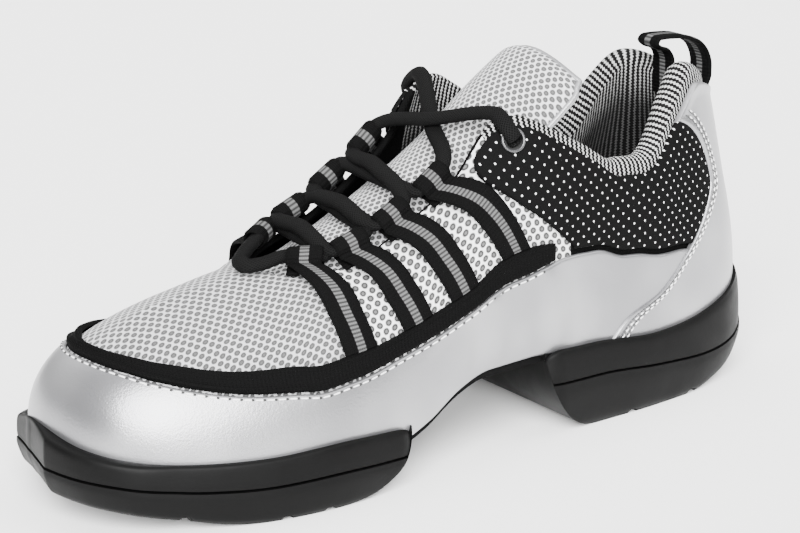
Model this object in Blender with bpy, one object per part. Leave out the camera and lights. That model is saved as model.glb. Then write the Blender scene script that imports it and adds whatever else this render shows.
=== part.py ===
"""Dance sneaker for the left foot: a split sole, a hollow laced upper with webbing straps, and its trimmings.

Metres, +Z up. The toe points along -X and the outer (lateral) side faces -Y.
The origin is the middle of the heel's tread, on the floor.
Every piece is taken from one shape, the shoe's wall: a ring of columns that run from the bottom edge of the
upper to its top edge, numbered by a turn from -1 at the heel, round the outer side to 0 at the toe,
and back round the inner side to 1 at the heel.
"""

import math

import bmesh
import bpy
import numpy as np

# Main sizes of the upper
LAST_LENGTH = 0.262
BALL_WIDTH = 0.088
COLLAR_HEIGHT = 0.112
HEEL_SEAT_HEIGHT = 0.022

# Walls, plates and coverings
WALL = 0.0024
COLLAR_PAD = 0.0062
PAD_FRONT = 0.350
PAD_FADE = 0.090
BOARD_THICKNESS = 0.0024
INSOLE_THICKNESS = 0.0040
GUARD_THICKNESS = 0.0010
BINDING_THICKNESS = 0.0018
COUNTER_THICKNESS = 0.0010
GAP = 0.0003
SEAT = 0.0007

# Soles
SOLE_LIP_LEAST = 0.0014
SOLE_LIP_SHARE = 0.55
SOLE_BULGE = 0.0052
SOLE_GROOVE_DEPTH = 0.0014
SOLE_GROOVE_HALF = 0.0011
TREAD_INSET = 0.0030
TOE_FACE_REACH = 0.0030
TOE_FACE_MOST = 0.0068
TOE_FACE_TURN_DEG = 11.0
LUG_GROOVE_DEPTH = 0.0013
LUG_GROOVE_WIDTH = 0.0032

# Straps, laces and fittings
STRAP_WIDTH = 0.0118
STRAP_THICKNESS = 0.0014
STRAP_LOOP_OPENING = 0.0042
STRAP_LOOP_LENGTH = 0.0065
STRAP_LOOP_CENTRE = 0.70
STRAP_LIFT_FROM = 0.66
STRAP_LIFT_TO = 0.84
LACE_WIDTH = 0.0046
LACE_THICKNESS = 0.0034
LACE_CROWN = 0.0020
LACE_BAR_SWING = (-0.0115, -0.0020, -0.0030)
# How far each strand's end stands off its loop: bar, rows front to back, top row
LACE_STANDS = (0.0032, 0.0008, 0.0014, 0.0014, 0.0021)
LACE_TOP_BASE = 0.436
LACE_TOP_REACH = 0.0030
LACE_TOP_LIFT = 0.0042
LACE_TOP_CROWN = -0.0020
EYELET_RADIUS = 0.0042
EYELET_HOLE = 0.0024
EYELET_THICKNESS = 0.0012
EYELET_STAND = 0.0004
TONGUE_TOP_THICKNESS = 0.0085
TONGUE_TILT = 0.004
LOOP_LOW = SEAT + GAP + STRAP_THICKNESS / 2
LOOP_RADIUS = (STRAP_THICKNESS + STRAP_LOOP_OPENING) / 2
PULL_LOOP_WIDTH = 0.0115
PULL_LOOP_THICKNESS = 0.0014
PULL_LOOP_RISE = 0.0165
PULL_LOOP_REACH = 0.0175

# Footprint of the upper: along as a share of LAST_LENGTH from the heel, half widths of BALL_WIDTH,
# height of the bottom edge of HEEL_SEAT_HEIGHT
#    along, lateral, medial, seat
FOOTPRINT = (
    (0.000, 0.000, 0.000, 1.00),
    (0.020, 0.150, 0.150, 1.00),
    (0.080, 0.275, 0.275, 1.00),
    (0.200, 0.345, 0.345, 1.02),
    (0.310, 0.365, 0.325, 1.20),
    (0.410, 0.385, 0.300, 1.33),
    (0.475, 0.405, 0.298, 1.33),
    (0.525, 0.425, 0.312, 1.18),
    (0.580, 0.450, 0.350, 0.83),
    (0.640, 0.480, 0.410, 0.62),
    (0.720, 0.505, 0.465, 0.58),
    (0.800, 0.480, 0.480, 0.59),
    (0.880, 0.405, 0.450, 0.67),
    (0.940, 0.305, 0.390, 0.78),
    (0.980, 0.165, 0.290, 0.88),
    (1.000, -0.115, 0.115, 0.92),
)

# Top edge of each column: along of LAST_LENGTH, half widths of BALL_WIDTH, heights of COLLAR_HEIGHT
#    base, along, lateral, medial, lateral height, medial height
TOPLINE = (
    (0.000, 0.044, 0.000, 0.000, 0.925, 0.925),
    (0.020, 0.060, 0.125, 0.125, 0.948, 0.950),
    (0.080, 0.102, 0.205, 0.205, 0.985, 0.985),
    (0.140, 0.143, 0.262, 0.258, 0.905, 0.905),
    (0.200, 0.194, 0.305, 0.298, 0.762, 0.762),
    (0.260, 0.252, 0.330, 0.318, 0.760, 0.750),
    (0.310, 0.305, 0.335, 0.318, 0.838, 0.865),
    (0.370, 0.362, 0.315, 0.300, 0.925, 0.972),
    (0.410, 0.400, 0.285, 0.275, 0.962, 1.015),
    (0.445, 0.430, 0.262, 0.252, 0.945, 1.000),
    (0.515, 0.487, 0.252, 0.222, 0.795, 0.850),
    (0.580, 0.552, 0.246, 0.210, 0.700, 0.745),
    (0.640, 0.612, 0.240, 0.208, 0.628, 0.665),
    (0.690, 0.662, 0.218, 0.198, 0.596, 0.625),
    (0.720, 0.694, 0.172, 0.168, 0.590, 0.608),
    (0.742, 0.714, 0.104, 0.108, 0.592, 0.600),
    (0.756, 0.724, 0.000, 0.000, 0.596, 0.596),
    (0.800, 0.750, 0.000, 0.000, 0.588, 0.588),
    (0.880, 0.795, 0.000, 0.000, 0.568, 0.568),
    (0.940, 0.830, 0.000, 0.000, 0.550, 0.550),
    (0.980, 0.852, 0.000, 0.000, 0.540, 0.540),
    (1.000, 0.862, 0.000, 0.000, 0.536, 0.536),
)
RIDGE_FROM = 0.756
# Columns of the ring, closer together where the shape turns fast: from base, to base, how many
LEVELS = (0.0, 0.1, 0.2, 0.32, 0.44, 0.56, 0.68, 0.79, 0.88, 0.95, 1.0)
COLUMNS = (
    (0.00, 0.10, 5),
    (0.10, 0.46, 9),
    (0.46, 0.70, 6),
    (0.70, RIDGE_FROM, 3),
    (RIDGE_FROM, 0.92, 4),
    (0.92, 1.00, 5),
)
RIDGE_SLOPE = -0.42
RIDGE_TIP = 0.045

# How each column bows between its two ends: reach up and outward lean at the foot, spread and drop at the top.
# Reach and drop are shares of the column's height, lean and spread of BALL_WIDTH
#    base, reach, lean, spread, drop
BOW = (
    (0.000, 0.34, 0.055, 0.045, 0.34),
    (0.080, 0.34, 0.050, 0.060, 0.34),
    (0.200, 0.34, 0.050, 0.060, 0.34),
    (0.310, 0.34, 0.055, 0.070, 0.34),
    (0.420, 0.36, 0.060, 0.110, 0.28),
    (0.515, 0.36, 0.060, 0.160, 0.18),
    (0.640, 0.38, 0.050, 0.172, 0.12),
    (0.690, 0.40, 0.042, 0.195, 0.08),
    (0.720, 0.42, 0.035, 0.240, 0.05),
    (0.742, 0.44, 0.032, 0.295, 0.02),
    (0.756, 0.46, 0.030, 0.345, 0.00),
    (0.800, 0.50, 0.025, 0.318, 0.00),
    (0.880, 0.56, 0.020, 0.280, 0.00),
    (0.940, 0.62, 0.020, 0.255, 0.00),
    (1.000, 0.66, 0.020, 0.245, 0.00),
)

# Top edges of the silver guard and of the black binding above it, as shares of the column's height
#    base, guard top, binding top
GUARD = (
    (0.100, 0.330, 0.330),
    (0.130, 0.375, 0.375),
    (0.165, 0.445, 0.445),
    (0.200, 0.510, 0.510),
    (0.240, 0.545, 0.545),
    (0.285, 0.545, 0.545),
    (0.330, 0.495, 0.510),
    (0.360, 0.445, 0.500),
    (0.410, 0.356, 0.456),
    (0.490, 0.344, 0.446),
    (0.590, 0.400, 0.498),
    (0.630, 0.415, 0.512),
    (0.700, 0.381, 0.492),
    (0.750, 0.340, 0.446),
    (0.848, 0.363, 0.458),
    (0.936, 0.438, 0.535),
    (1.000, 0.560, 0.650),
)
BINDING_FROM = 0.372

# Front edge of the heel counter, and front edge of the dotted quarter
#    height, counter base
COUNTER_EDGE = (
    (0.000, 0.274),
    (0.194, 0.238),
    (0.312, 0.180),
    (0.400, 0.132),
    (0.481, 0.098),
    (0.588, 0.074),
    (0.700, 0.082),
    (0.850, 0.112),
    (1.000, 0.152),
)
#    height, quarter base
QUARTER_EDGE = (
    (0.500, 0.345),
    (0.537, 0.368),
    (0.613, 0.418),
    (0.750, 0.465),
    (1.000, 0.496),
)
OVERLAY_TOP = 0.965

# Soles: tread and lip heights of HEEL_SEAT_HEIGHT, and the side groove's place between them
#    base, tread, lip, groove
SOLE = (
    (0.000, 0.42, 1.66, 0.36),
    (0.030, 0.30, 1.54, 0.36),
    (0.080, 0.12, 1.40, 0.42),
    (0.140, 0.00, 1.26, 0.52),
    (0.220, 0.00, 1.22, 0.60),
    (0.290, 0.00, 1.34, 0.62),
    (0.325, 0.00, 1.34, 0.62),
    (0.360, 0.00, 1.34, 0.62),
    (0.420, 0.00, 1.41, 0.62),
    (0.520, 0.00, 1.30, 0.60),
    (0.570, 0.00, 1.06, 0.58),
    (0.607, 0.00, 0.90, 0.56),
    (0.650, 0.00, 0.94, 0.55),
    (0.720, 0.00, 0.99, 0.57),
    (0.800, 0.00, 0.96, 0.58),
    (0.850, 0.04, 0.97, 0.58),
    (0.900, 0.16, 1.00, 0.56),
    (0.950, 0.29, 1.07, 0.56),
    (0.985, 0.37, 1.18, 0.52),
    (1.000, 0.40, 1.34, 0.44),
)
TREAD_CENTRE = 0.185
SPINE_HEEL = 0.090
SPINE_TOE = 0.900
FOREFOOT_REAR = 0.612
FOREFOOT_FLOOR = 0.715
HEEL_FRONT = 0.386
HEEL_FLOOR = 0.300
SOLE_END_SKEW = 0.060
LUG_GROOVES_FOREFOOT = (0.735, 0.790, 0.905)
LUG_GROOVES_HEEL = (0.130, 0.240)

# Lace straps, front to back: where each stands at the throat and on the binding
#    top base, foot base
STRAPS = (
    (0.714, 0.686),
    (0.652, 0.603),
    (0.590, 0.535),
    (0.530, 0.448),
)
EYELET_PLACE = 0.424
EYELET_HEIGHT = 0.900

# Tongue: along of LAST_LENGTH, outer face's height at its middle of COLLAR_HEIGHT, half width and side drop of
# BALL_WIDTH, thickness of TONGUE_TOP_THICKNESS
#    along, height, half width, drop, thickness
TONGUE = (
    (0.735, 0.545, 0.210, 0.056, 0.30),
    (0.690, 0.587, 0.232, 0.068, 0.34),
    (0.620, 0.658, 0.254, 0.086, 0.38),
    (0.550, 0.745, 0.260, 0.102, 0.42),
    (0.480, 0.844, 0.262, 0.120, 0.50),
    (0.430, 0.928, 0.268, 0.138, 0.70),
    (0.380, 1.020, 0.270, 0.150, 0.95),
    (0.330, 1.096, 0.264, 0.138, 1.00),
    (0.308, 1.122, 0.240, 0.120, 0.70),
)

LATERAL, MEDIAL = -1, 1


def smooth(at, knots, values):
    """A curve through the values at the knots whose slope at a knot is the mean of the slopes beside it."""
    at = np.asarray(at, float)
    knots = np.asarray(knots, float)
    values = np.asarray(values, float)
    steps = np.diff(knots)
    chords = np.diff(values) / steps
    slopes = np.concatenate([chords[:1], (chords[1:] + chords[:-1]) / 2, chords[-1:]])
    flat = np.concatenate([[False], chords[1:] * chords[:-1] <= 0, [False]])
    slopes = np.where(flat, 0.0, slopes)
    cell = np.clip(np.searchsorted(knots, at, side="right") - 1, 0, len(steps) - 1)
    share = np.clip((at - knots[cell]) / steps[cell], 0, 1)
    rise = share * share * (3 - 2 * share)
    lead = share * (1 - share) ** 2 * steps[cell]
    trail = share * share * (share - 1) * steps[cell]
    start, end = values[cell], values[cell + 1]
    return start + (end - start) * rise + slopes[cell] * lead + slopes[cell + 1] * trail


def seat_gap(turn):
    """The clearance between pieces as a share of each column's length."""
    return GAP / np.linalg.norm(top(turn) - foot(turn), axis=-1)


def turn_of(base, side):
    """The turn round the shoe of a column that stands at this share of the length, on this side."""
    return side * np.arccos(np.clip(2 * np.asarray(base, float) - 1, -1, 1)) / math.pi


def base_of(turn):
    """The share of the length at which a column stands."""
    return (1 + np.cos(math.pi * np.asarray(turn, float))) / 2


def round_ring(turn, table, lateral_column, medial_column, sign=1):
    """A table's values as one smooth curve round the shoe, outer side first."""
    rows = np.array(table)
    turns = np.concatenate([turn_of(rows[:, 0], LATERAL), turn_of(rows[-2::-1, 0], MEDIAL)])
    values = np.concatenate([rows[:, lateral_column], sign * rows[-2::-1, medial_column]])
    wrapped = (np.asarray(turn, float) + 1) % 2 - 1
    ends = np.concatenate([turns[-2:-1] - 2, turns, turns[1:2] + 2])
    return smooth(wrapped, ends, np.concatenate([values[-2:-1], values, values[1:2]]))


def foot(turn):
    """Bottom edge of the wall: (x, y, z) of each column."""
    wrapped = np.asarray(turn, float)
    x = (TREAD_CENTRE - base_of(wrapped)) * LAST_LENGTH
    y = -round_ring(wrapped, FOOTPRINT, 1, 2, sign=-1) * BALL_WIDTH
    z = round_ring(wrapped, FOOTPRINT, 3, 3) * HEEL_SEAT_HEIGHT
    return np.stack([x, y, z], -1)


def outward(turn):
    """Level unit vector away from the shoe at each column's foot."""
    step = 1e-4
    along = foot(np.asarray(turn) + step) - foot(np.asarray(turn) - step)
    away = np.stack([-along[..., 1], along[..., 0], np.zeros_like(along[..., 0])], -1)
    return away / np.linalg.norm(away, axis=-1, keepdims=True)


def top(turn):
    """Top edge of the wall: the collar, the throat's edge, then the ridge of the forefoot."""
    x = (TREAD_CENTRE - round_ring(turn, TOPLINE, 1, 1)) * LAST_LENGTH
    y = -round_ring(turn, TOPLINE, 2, 3, sign=-1) * BALL_WIDTH
    z = round_ring(turn, TOPLINE, 4, 5) * COLLAR_HEIGHT
    beyond = (base_of(turn) - RIDGE_FROM) / (1 - RIDGE_FROM)
    y = np.where(beyond > -1e-6, RIDGE_TIP * beyond * BALL_WIDTH, y)
    return np.stack([x, y, z], -1)


def middle_surface(turn, height):
    """The wall's outer face before any padding: each column is a cubic with a handle at either end."""
    turn, height = np.broadcast_arrays(np.asarray(turn, float), np.asarray(height, float))
    low, high, away = foot(turn), top(turn), outward(turn)
    rise = high[..., 2] - low[..., 2]
    reach, lean, spread, drop = (round_ring(turn, BOW, k, k) for k in (1, 2, 3, 4))
    up = np.array([0.0, 0.0, 1.0])
    first = low + (reach * rise)[..., None] * up + (lean * BALL_WIDTH)[..., None] * away
    second = high + (spread * BALL_WIDTH)[..., None] * away - (drop * rise)[..., None] * up
    on_ridge = np.clip((base_of(turn) - RIDGE_FROM) / (1 - RIDGE_FROM), 0, 1) > 0
    tilt = np.where(on_ridge, RIDGE_SLOPE * spread * BALL_WIDTH * -away[..., 0], 0)
    second = second + tilt[..., None] * up
    t = height[..., None]
    return (1 - t) ** 3 * low + 3 * t * (1 - t) ** 2 * first + 3 * t * t * (1 - t) * second + t**3 * high


def normals(turn, height):
    """Outward unit normals of the wall's outer face."""
    turn, height = np.broadcast_arrays(np.asarray(turn, float), np.asarray(height, float))
    step = 1e-3
    inside = np.clip(height, step, 1 - step)
    round_way = middle_surface(turn + step, inside) - middle_surface(turn - step, inside)
    up_way = middle_surface(turn, inside + step) - middle_surface(turn, inside - step)
    across = np.cross(up_way, round_way)
    return across / np.linalg.norm(across, axis=-1, keepdims=True)


def padding(turn, height):
    """Share of the full collar padding: all of it at the rim of the collar, none on the forefoot."""
    ring = np.clip((PAD_FRONT - base_of(turn)) / PAD_FADE, 0, 1)
    up = np.clip((np.asarray(height) - 0.55) / 0.37, 0, 1)
    return ring * up * up * (3 - 2 * up)


def wall(turn, height, out=0.0):
    """A point of the wall, moved out along its normal. The collar's outer face swells by a sixth of its padding."""
    swell = padding(turn, height) * COLLAR_PAD / 6
    return middle_surface(turn, height) + (out + swell)[..., None] * normals(turn, height)


def column_turns(counts=COLUMNS):
    """Turns of the columns of a full ring, heel to heel, closer together where the shape turns fast."""
    shares = [np.linspace(turn_of(a, MEDIAL), turn_of(b, MEDIAL), n, endpoint=False) for a, b, n in counts]
    one_side = np.concatenate(shares + [[0.0]])
    return np.concatenate([-one_side, one_side[-2:0:-1]])


def new_object(name, points, faces, colour, roughness=0.6, metallic=0.0):
    """A closed mesh object with its own material, its normals turned outwards."""
    mesh = bpy.data.meshes.new(name)
    mesh.from_pydata([tuple(p) for p in np.reshape(points, (-1, 3))], [], [tuple(f) for f in faces])
    work = bmesh.new()
    work.from_mesh(mesh)
    bmesh.ops.remove_doubles(work, verts=work.verts, dist=2e-6)
    bmesh.ops.dissolve_degenerate(work, edges=work.edges, dist=1e-6)
    bmesh.ops.delete(work, geom=[v for v in work.verts if not v.link_faces], context="VERTS")
    bmesh.ops.recalc_face_normals(work, faces=work.faces)
    work.to_mesh(mesh)
    work.free()
    material = bpy.data.materials.new(name)
    material.use_nodes = True
    shader = material.node_tree.nodes["Principled BSDF"]
    shader.inputs["Base Color"].default_value = (*colour, 1.0)
    shader.inputs["Roughness"].default_value = roughness
    shader.inputs["Metallic"].default_value = metallic
    mesh.materials.append(material)
    made = bpy.data.objects.new(name, mesh)
    bpy.context.scene.collection.objects.link(made)
    mesh.shade_smooth()
    mesh.set_sharp_from_angle(angle=math.radians(40))
    return made


def grid_faces(columns, rows, close_columns=False, close_rows=False):
    """Quads of a grid whose points are listed column by column."""
    faces = []
    for i in range(columns if close_columns else columns - 1):
        for j in range(rows if close_rows else rows - 1):
            a, b = i * rows, ((i + 1) % columns) * rows
            k = (j + 1) % rows
            faces.append((a + j, b + j, b + k, a + k))
    return faces


def shell_patch(name, turns, heights, inner, outer, colour, roughness=0.6, metallic=0.0):
    """A covering on the wall between two offsets, over a grid of turns and heights (columns by rows)."""
    outside = wall(turns, heights, np.full(turns.shape, outer))
    inside = wall(turns, heights, np.full(turns.shape, inner))
    return slab(name, outside, inside, colour, roughness, metallic)


def slab(name, outside, inside, colour, roughness=0.6, metallic=0.0):
    """A closed solid between two grids of points, which are columns by rows and may close on themselves."""
    loops = np.concatenate([outside, inside[:, ::-1]], axis=1)
    columns, rows = loops.shape[:2]
    faces = grid_faces(columns, rows, close_rows=True)
    half = rows // 2
    for start in (0, (columns - 1) * rows):
        faces += [(start + j, start + j + 1, start + rows - 2 - j, start + rows - 1 - j) for j in range(half - 1)]
    return new_object(name, loops, faces, colour, roughness, metallic)


def edge_base(table, height):
    """Where an edge of a panel stands, from a table of heights and base shares."""
    rows = np.array(table)
    return smooth(height, rows[:, 0], rows[:, 1])


def guard_heights(base, column):
    """The guard's or the binding's top edge at these columns."""
    rows = np.array(GUARD)
    return smooth(np.clip(base, rows[0, 0], 1.0), rows[:, 0], rows[:, column])


def quarter_grid(share, level, side):
    """Turns and heights of the dotted quarter: share runs from its front edge back, level from the guard up."""
    height = 0.5 + 0.4 * level
    for _ in range(20):
        front = edge_base(QUARTER_EDGE, height)
        rear = base_of(turn_of(edge_base(COUNTER_EDGE, height), LATERAL) + GAP / BALL_WIDTH)
        turns = turn_of(front + (rear - front) * share, side)
        low = guard_heights(base_of(turns), 1) + 4 * seat_gap(turns)
        height = (height + low + (OVERLAY_TOP - low) * level) / 2
    return turns, height


def build_upper():
    """The hollow upper: outer face, rounded rim and inner face of each column. The forefoot's columns meet at the ridge."""
    turns = column_turns()
    levels = np.array(LEVELS)
    ring, height = np.meshgrid(turns, levels, indexing="ij")
    thick = WALL + padding(ring, height) * COLLAR_PAD
    outer = wall(ring, height)
    inner = outer - thick[..., None] * normals(ring, height)
    inner[:, 0, 2] = outer[:, 0, 2]
    ridge = base_of(turns) >= RIDGE_FROM - 1e-9
    partner = (-np.arange(len(turns))) % len(turns)
    for face in (outer, inner):
        face[ridge, -1] = (face[ridge, -1] + face[partner, -1][ridge]) / 2
    inner[ridge, -2] = (inner[ridge, -1] + inner[ridge, -3]) / 2
    across = (outer[:, -1] - inner[:, -1]) / 2
    round_way = np.roll(outer[:, -1], -1, axis=0) - np.roll(outer[:, -1], 1, axis=0)
    rise = np.cross(across, round_way)
    rise[ridge] = np.array([1.0, 0.0, 0.0])
    rise = rise / np.linalg.norm(rise, axis=-1, keepdims=True)
    rise[~ridge] *= np.sign(rise[~ridge, 2:3])
    half = np.linalg.norm(across, axis=-1, keepdims=True)
    centre = (outer[:, -1] + inner[:, -1]) / 2
    caps = [
        (centre + across * math.cos(a) + rise * half * math.sin(a))[:, None]
        for a in np.radians((45, 90, 135))
    ]
    loops = np.concatenate([outer, *caps, inner[:, ::-1]], axis=1)
    columns, rows = loops.shape[:2]
    rim = range(len(levels) - 1, len(levels) + len(caps))
    faces = []
    for i in range(columns):
        for j in range(rows):
            if j in rim and ridge[i] and ridge[(i + 1) % columns]:
                continue
            a, b = i * rows, ((i + 1) % columns) * rows
            k = (j + 1) % rows
            faces.append((a + j, b + j, b + k, a + k))
    return new_object("upper", loops, faces, (0.62, 0.63, 0.65))


def spine(turns, height_of):
    """The middle line that a plate's columns meet on, drawn in from both ends so that they fan there."""
    base = base_of(turns)
    ends = 0.0, 2 * SPINE_HEEL, 2 * SPINE_TOE - 1, 1.0
    along = np.interp(base, ends, (SPINE_HEEL, *ends[1:3], SPINE_TOE))
    pairs = foot(turn_of(along, LATERAL)), foot(turn_of(along, MEDIAL))
    middle = (pairs[0] + pairs[1]) / 2
    middle[:, 2] = height_of(along, middle[:, 2])
    return middle


def plate(name, inset, low, high, colour, roughness=0.8):
    """A plate that follows the bottom edge of the upper, between two heights above it."""
    turns = column_turns()
    edge = foot(turns) - inset * outward(turns)
    middle = spine(turns, lambda along, seat: seat)
    up = np.array([0.0, 0.0, 1.0])
    loops = np.stack([middle + high * up, edge + high * up, edge + low * up, middle + low * up], axis=1)
    columns, rows = loops.shape[:2]
    return new_object(name, loops, grid_faces(columns, rows, close_columns=True), colour, roughness)


def toe_face_outset(turns, plain):
    """How far the sole stands out at each column. Round the toe it reaches a flat face with two corners."""
    turned = math.radians(TOE_FACE_TURN_DEG)
    facing = np.array([-math.cos(turned), math.sin(turned), 0.0])
    tip = foot(np.array([0.0]))[0]
    edge, away = foot(turns), outward(turns)
    to_face = (tip @ facing + TOE_FACE_REACH - edge @ facing) / np.maximum(away @ facing, 0.2)
    near_toe = np.clip((base_of(turns) - 0.90) / 0.05, 0, 1)
    most = plain + (TOE_FACE_MOST - plain) * near_toe * near_toe * (3 - 2 * near_toe)
    return np.where(away @ facing > 0.2, np.minimum(to_face, most), most)


def build_sole_blank():
    """Both soles in one piece: a cup that takes the board and the upper, with a grooved side wall and a tread."""
    turns = column_turns()
    rows = np.array(SOLE)
    tread = round_ring(turns, SOLE, 1, 1) * HEEL_SEAT_HEIGHT
    edge, away = foot(turns), outward(turns)
    lip = np.maximum(round_ring(turns, SOLE, 2, 2) * HEEL_SEAT_HEIGHT, edge[:, 2] + SOLE_LIP_LEAST)
    floor = edge[:, 2] - BOARD_THICKNESS - GAP - SEAT
    level = np.linspace(0, 1, 60)

    def beside_wall(height, out):
        """The point at this height that stands out from the upper's face by out."""
        ring, share = np.meshgrid(turns, level, indexing="ij")
        faces = middle_surface(ring, share)
        places = np.empty((len(turns), 3))
        for i in range(len(turns)):
            share_here = np.interp(height[i], faces[i, :, 2], level)
            places[i] = middle_surface(turns[i], share_here)
        places = places + np.reshape(out, (-1, 1)) * away
        places[:, 2] = height
        return places

    def beside_foot(height, out):
        """The point at this height that stands out from the bottom edge by out."""
        places = edge + np.reshape(out, (-1, 1)) * away
        places[:, 2] = height
        return places

    cover = SEAT + GUARD_THICKNESS + GAP
    full = toe_face_outset(turns, np.full(len(turns), SOLE_BULGE))
    groove = tread + (lip - tread) * round_ring(turns, SOLE, 3, 3)
    bottom = toe_face_outset(turns, np.full(len(turns), SOLE_BULGE)) - TREAD_INSET
    spine_tread = spine(turns, lambda along, seat: np.interp(along, rows[:, 0], rows[:, 1]) * HEEL_SEAT_HEIGHT)
    spine_floor = spine(turns, lambda along, seat: seat - BOARD_THICKNESS - GAP - SEAT)
    loops = np.stack(
        [
            spine_floor,
            beside_foot(floor, np.full(len(turns), cover)),
            beside_wall(edge[:, 2] + 0.0002, np.full(len(turns), cover)),
            beside_wall((edge[:, 2] + lip) / 2, np.full(len(turns), cover)),
            beside_wall(lip - 0.0004, np.full(len(turns), cover)),
            beside_wall(lip, cover + (full - cover) * SOLE_LIP_SHARE),
            beside_foot(lip * 0.8 + groove * 0.2, full),
            beside_foot(groove + SOLE_GROOVE_HALF, full + 0.0004),
            beside_foot(groove, np.maximum(full - SOLE_GROOVE_DEPTH, cover + GAP)),
            beside_foot(groove - SOLE_GROOVE_HALF, full + 0.0002),
            beside_foot(groove * 0.45 + tread * 0.55, full - 0.0004),
            beside_foot(groove * 0.15 + tread * 0.85, full - 0.0016),
            beside_foot(tread, bottom),
            spine_tread,
        ],
        axis=1,
    )
    columns, count = loops.shape[:2]
    return new_object("sole_blank", loops, grid_faces(columns, count, close_columns=True), (0.02, 0.02, 0.02))


def across_prism(name, outline, skew=0.0):
    """A cutter: an outline in x and z carried straight across the shoe, leaning along it by skew on each side."""
    wide = BALL_WIDTH
    sides = [[(x + s * skew * LAST_LENGTH, s * wide, z) for x, z in outline] for s in (-1, 1)]
    count = len(outline)
    faces = [tuple(range(count)), tuple(range(2 * count - 1, count - 1, -1))]
    faces += [(i, count + i, count + (i + 1) % count, (i + 1) % count) for i in range(count)]
    cutter = new_object(name, np.array(sides[0] + sides[1]), faces, (0.5, 0.5, 0.5))
    cutter.hide_render = True
    cutter.display_type = "WIRE"
    return cutter


def nose_outline(tip, floor, height, far_end):
    """Side view of what is cut away beyond a pad's rounded end, from its tip at the lip to where it meets the floor."""
    at = lambda share: (TREAD_CENTRE - share) * LAST_LENGTH
    below, above = -0.01, COLLAR_HEIGHT
    arc = []
    for k in range(9):
        a = math.radians(90 * k / 8)
        arc.append((at(floor) + (at(tip) - at(floor)) * math.sin(a), height * (1 - math.cos(a)) - 0.0001))
    return [(at(floor), below), *arc, (at(tip), above), (at(far_end), above), (at(far_end), below)]


def cut(target, cutter):
    """Takes the cutter's volume out of the target, exactly."""
    change = target.modifiers.new(cutter.name, "BOOLEAN")
    change.operation = "DIFFERENCE"
    change.solver = "EXACT"
    change.object = cutter


def build_soles():
    """The forefoot and heel pads, cut from one blank by rounded ends, with grooves between their lugs."""
    blank = build_sole_blank()
    heel = blank.copy()
    heel.data = blank.data.copy()
    bpy.context.scene.collection.objects.link(heel)
    blank.name, heel.name = "forefoot_sole", "heel_sole"
    skew = SOLE_END_SKEW / 2
    lip = np.array(SOLE)
    tip_fore = np.interp(FOREFOOT_REAR, lip[:, 0], lip[:, 2]) * HEEL_SEAT_HEIGHT
    tip_heel = np.interp(HEEL_FRONT, lip[:, 0], lip[:, 2]) * HEEL_SEAT_HEIGHT
    cut(blank, across_prism("cut_behind_forefoot", nose_outline(FOREFOOT_REAR, FOREFOOT_FLOOR, tip_fore, -0.2), -skew))
    cut(heel, across_prism("cut_before_heel", nose_outline(HEEL_FRONT, HEEL_FLOOR, tip_heel, 1.2), skew))
    for pad, places in ((blank, LUG_GROOVES_FOREFOOT), (heel, LUG_GROOVES_HEEL)):
        for place in places:
            x = (TREAD_CENTRE - place) * LAST_LENGTH
            tread = np.interp(place, lip[:, 0], lip[:, 1]) * HEEL_SEAT_HEIGHT
            half = LUG_GROOVE_WIDTH / 2
            top_z = tread + LUG_GROOVE_DEPTH
            box = [(x - half, -0.01), (x + half, -0.01), (x + half * 0.7, top_z), (x - half * 0.7, top_z)]
            cut(pad, across_prism(f"lug_groove_{place:.3f}", box))
    return blank, heel


def build_guard():
    """The silver guard: it follows the bottom edge from the counter's seam on one side round to the other."""
    ring = column_turns()
    front = ring[(base_of(ring) > 0.34)]
    rear_share, levels = np.linspace(0, 1, 5)[:-1], np.linspace(0, 1, 5)
    share, level = np.meshgrid(rear_share, levels, indexing="ij")
    height = 0.3 * level
    for _ in range(20):
        seam = turn_of(edge_base(COUNTER_EDGE, height), LATERAL) + GAP / BALL_WIDTH
        turn = seam + (front[0] - seam) * share
        height = (height + level * (guard_heights(base_of(turn), 1) - 2 * seat_gap(turn))) / 2
    middle = np.repeat(front[:, None], len(levels), axis=1)
    middle_height = levels * (guard_heights(base_of(front), 1) - 2 * seat_gap(front))[:, None]
    turns = np.concatenate([turn, middle, -turn[::-1]])
    heights = np.concatenate([height, middle_height, height[::-1]])
    return shell_patch("mudguard", turns, heights, SEAT, SEAT + GUARD_THICKNESS, (0.75, 0.76, 0.78), 0.3, 0.6)


def build_binding():
    """The black binding that lies on the wall along the guard's top edge, between the two quarters."""
    ring = column_turns()
    turns = ring[base_of(ring) > BINDING_FROM]
    low = guard_heights(base_of(turns), 1)
    high = guard_heights(base_of(turns), 2)
    heights = low[:, None] + (high - low)[:, None] * np.linspace(0, 1, 3)
    grid = np.repeat(turns[:, None], 3, axis=1)
    return shell_patch("binding", grid, heights, SEAT, SEAT + BINDING_THICKNESS, (0.03, 0.03, 0.03), 0.9)


def build_counter():
    """The silver heel counter, from its seam on the outer side round the heel to the inner side."""
    ring = column_turns()
    heel = ring[base_of(ring) < 0.07]
    heel = np.sort(np.where(heel > 0, heel - 2, heel))[::-1]
    rows = np.array([level for level in LEVELS if level < 0.9] + [OVERLAY_TOP])
    share, height = np.meshgrid(np.linspace(0, 1, 5)[:-1], rows, indexing="ij")
    seam = turn_of(edge_base(COUNTER_EDGE, height), LATERAL) - GAP / BALL_WIDTH
    outer = seam + (heel[0] - seam) * share
    middle = np.repeat(heel[:, None], len(rows), axis=1)
    turns = np.concatenate([outer, middle, -2 - outer[::-1]])
    heights = np.repeat(rows[None], len(turns), axis=0)
    seat = SEAT + GAP / 2
    return shell_patch("heel_counter", turns, heights, seat, seat + COUNTER_THICKNESS, (0.75, 0.76, 0.78), 0.3, 0.6)


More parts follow.
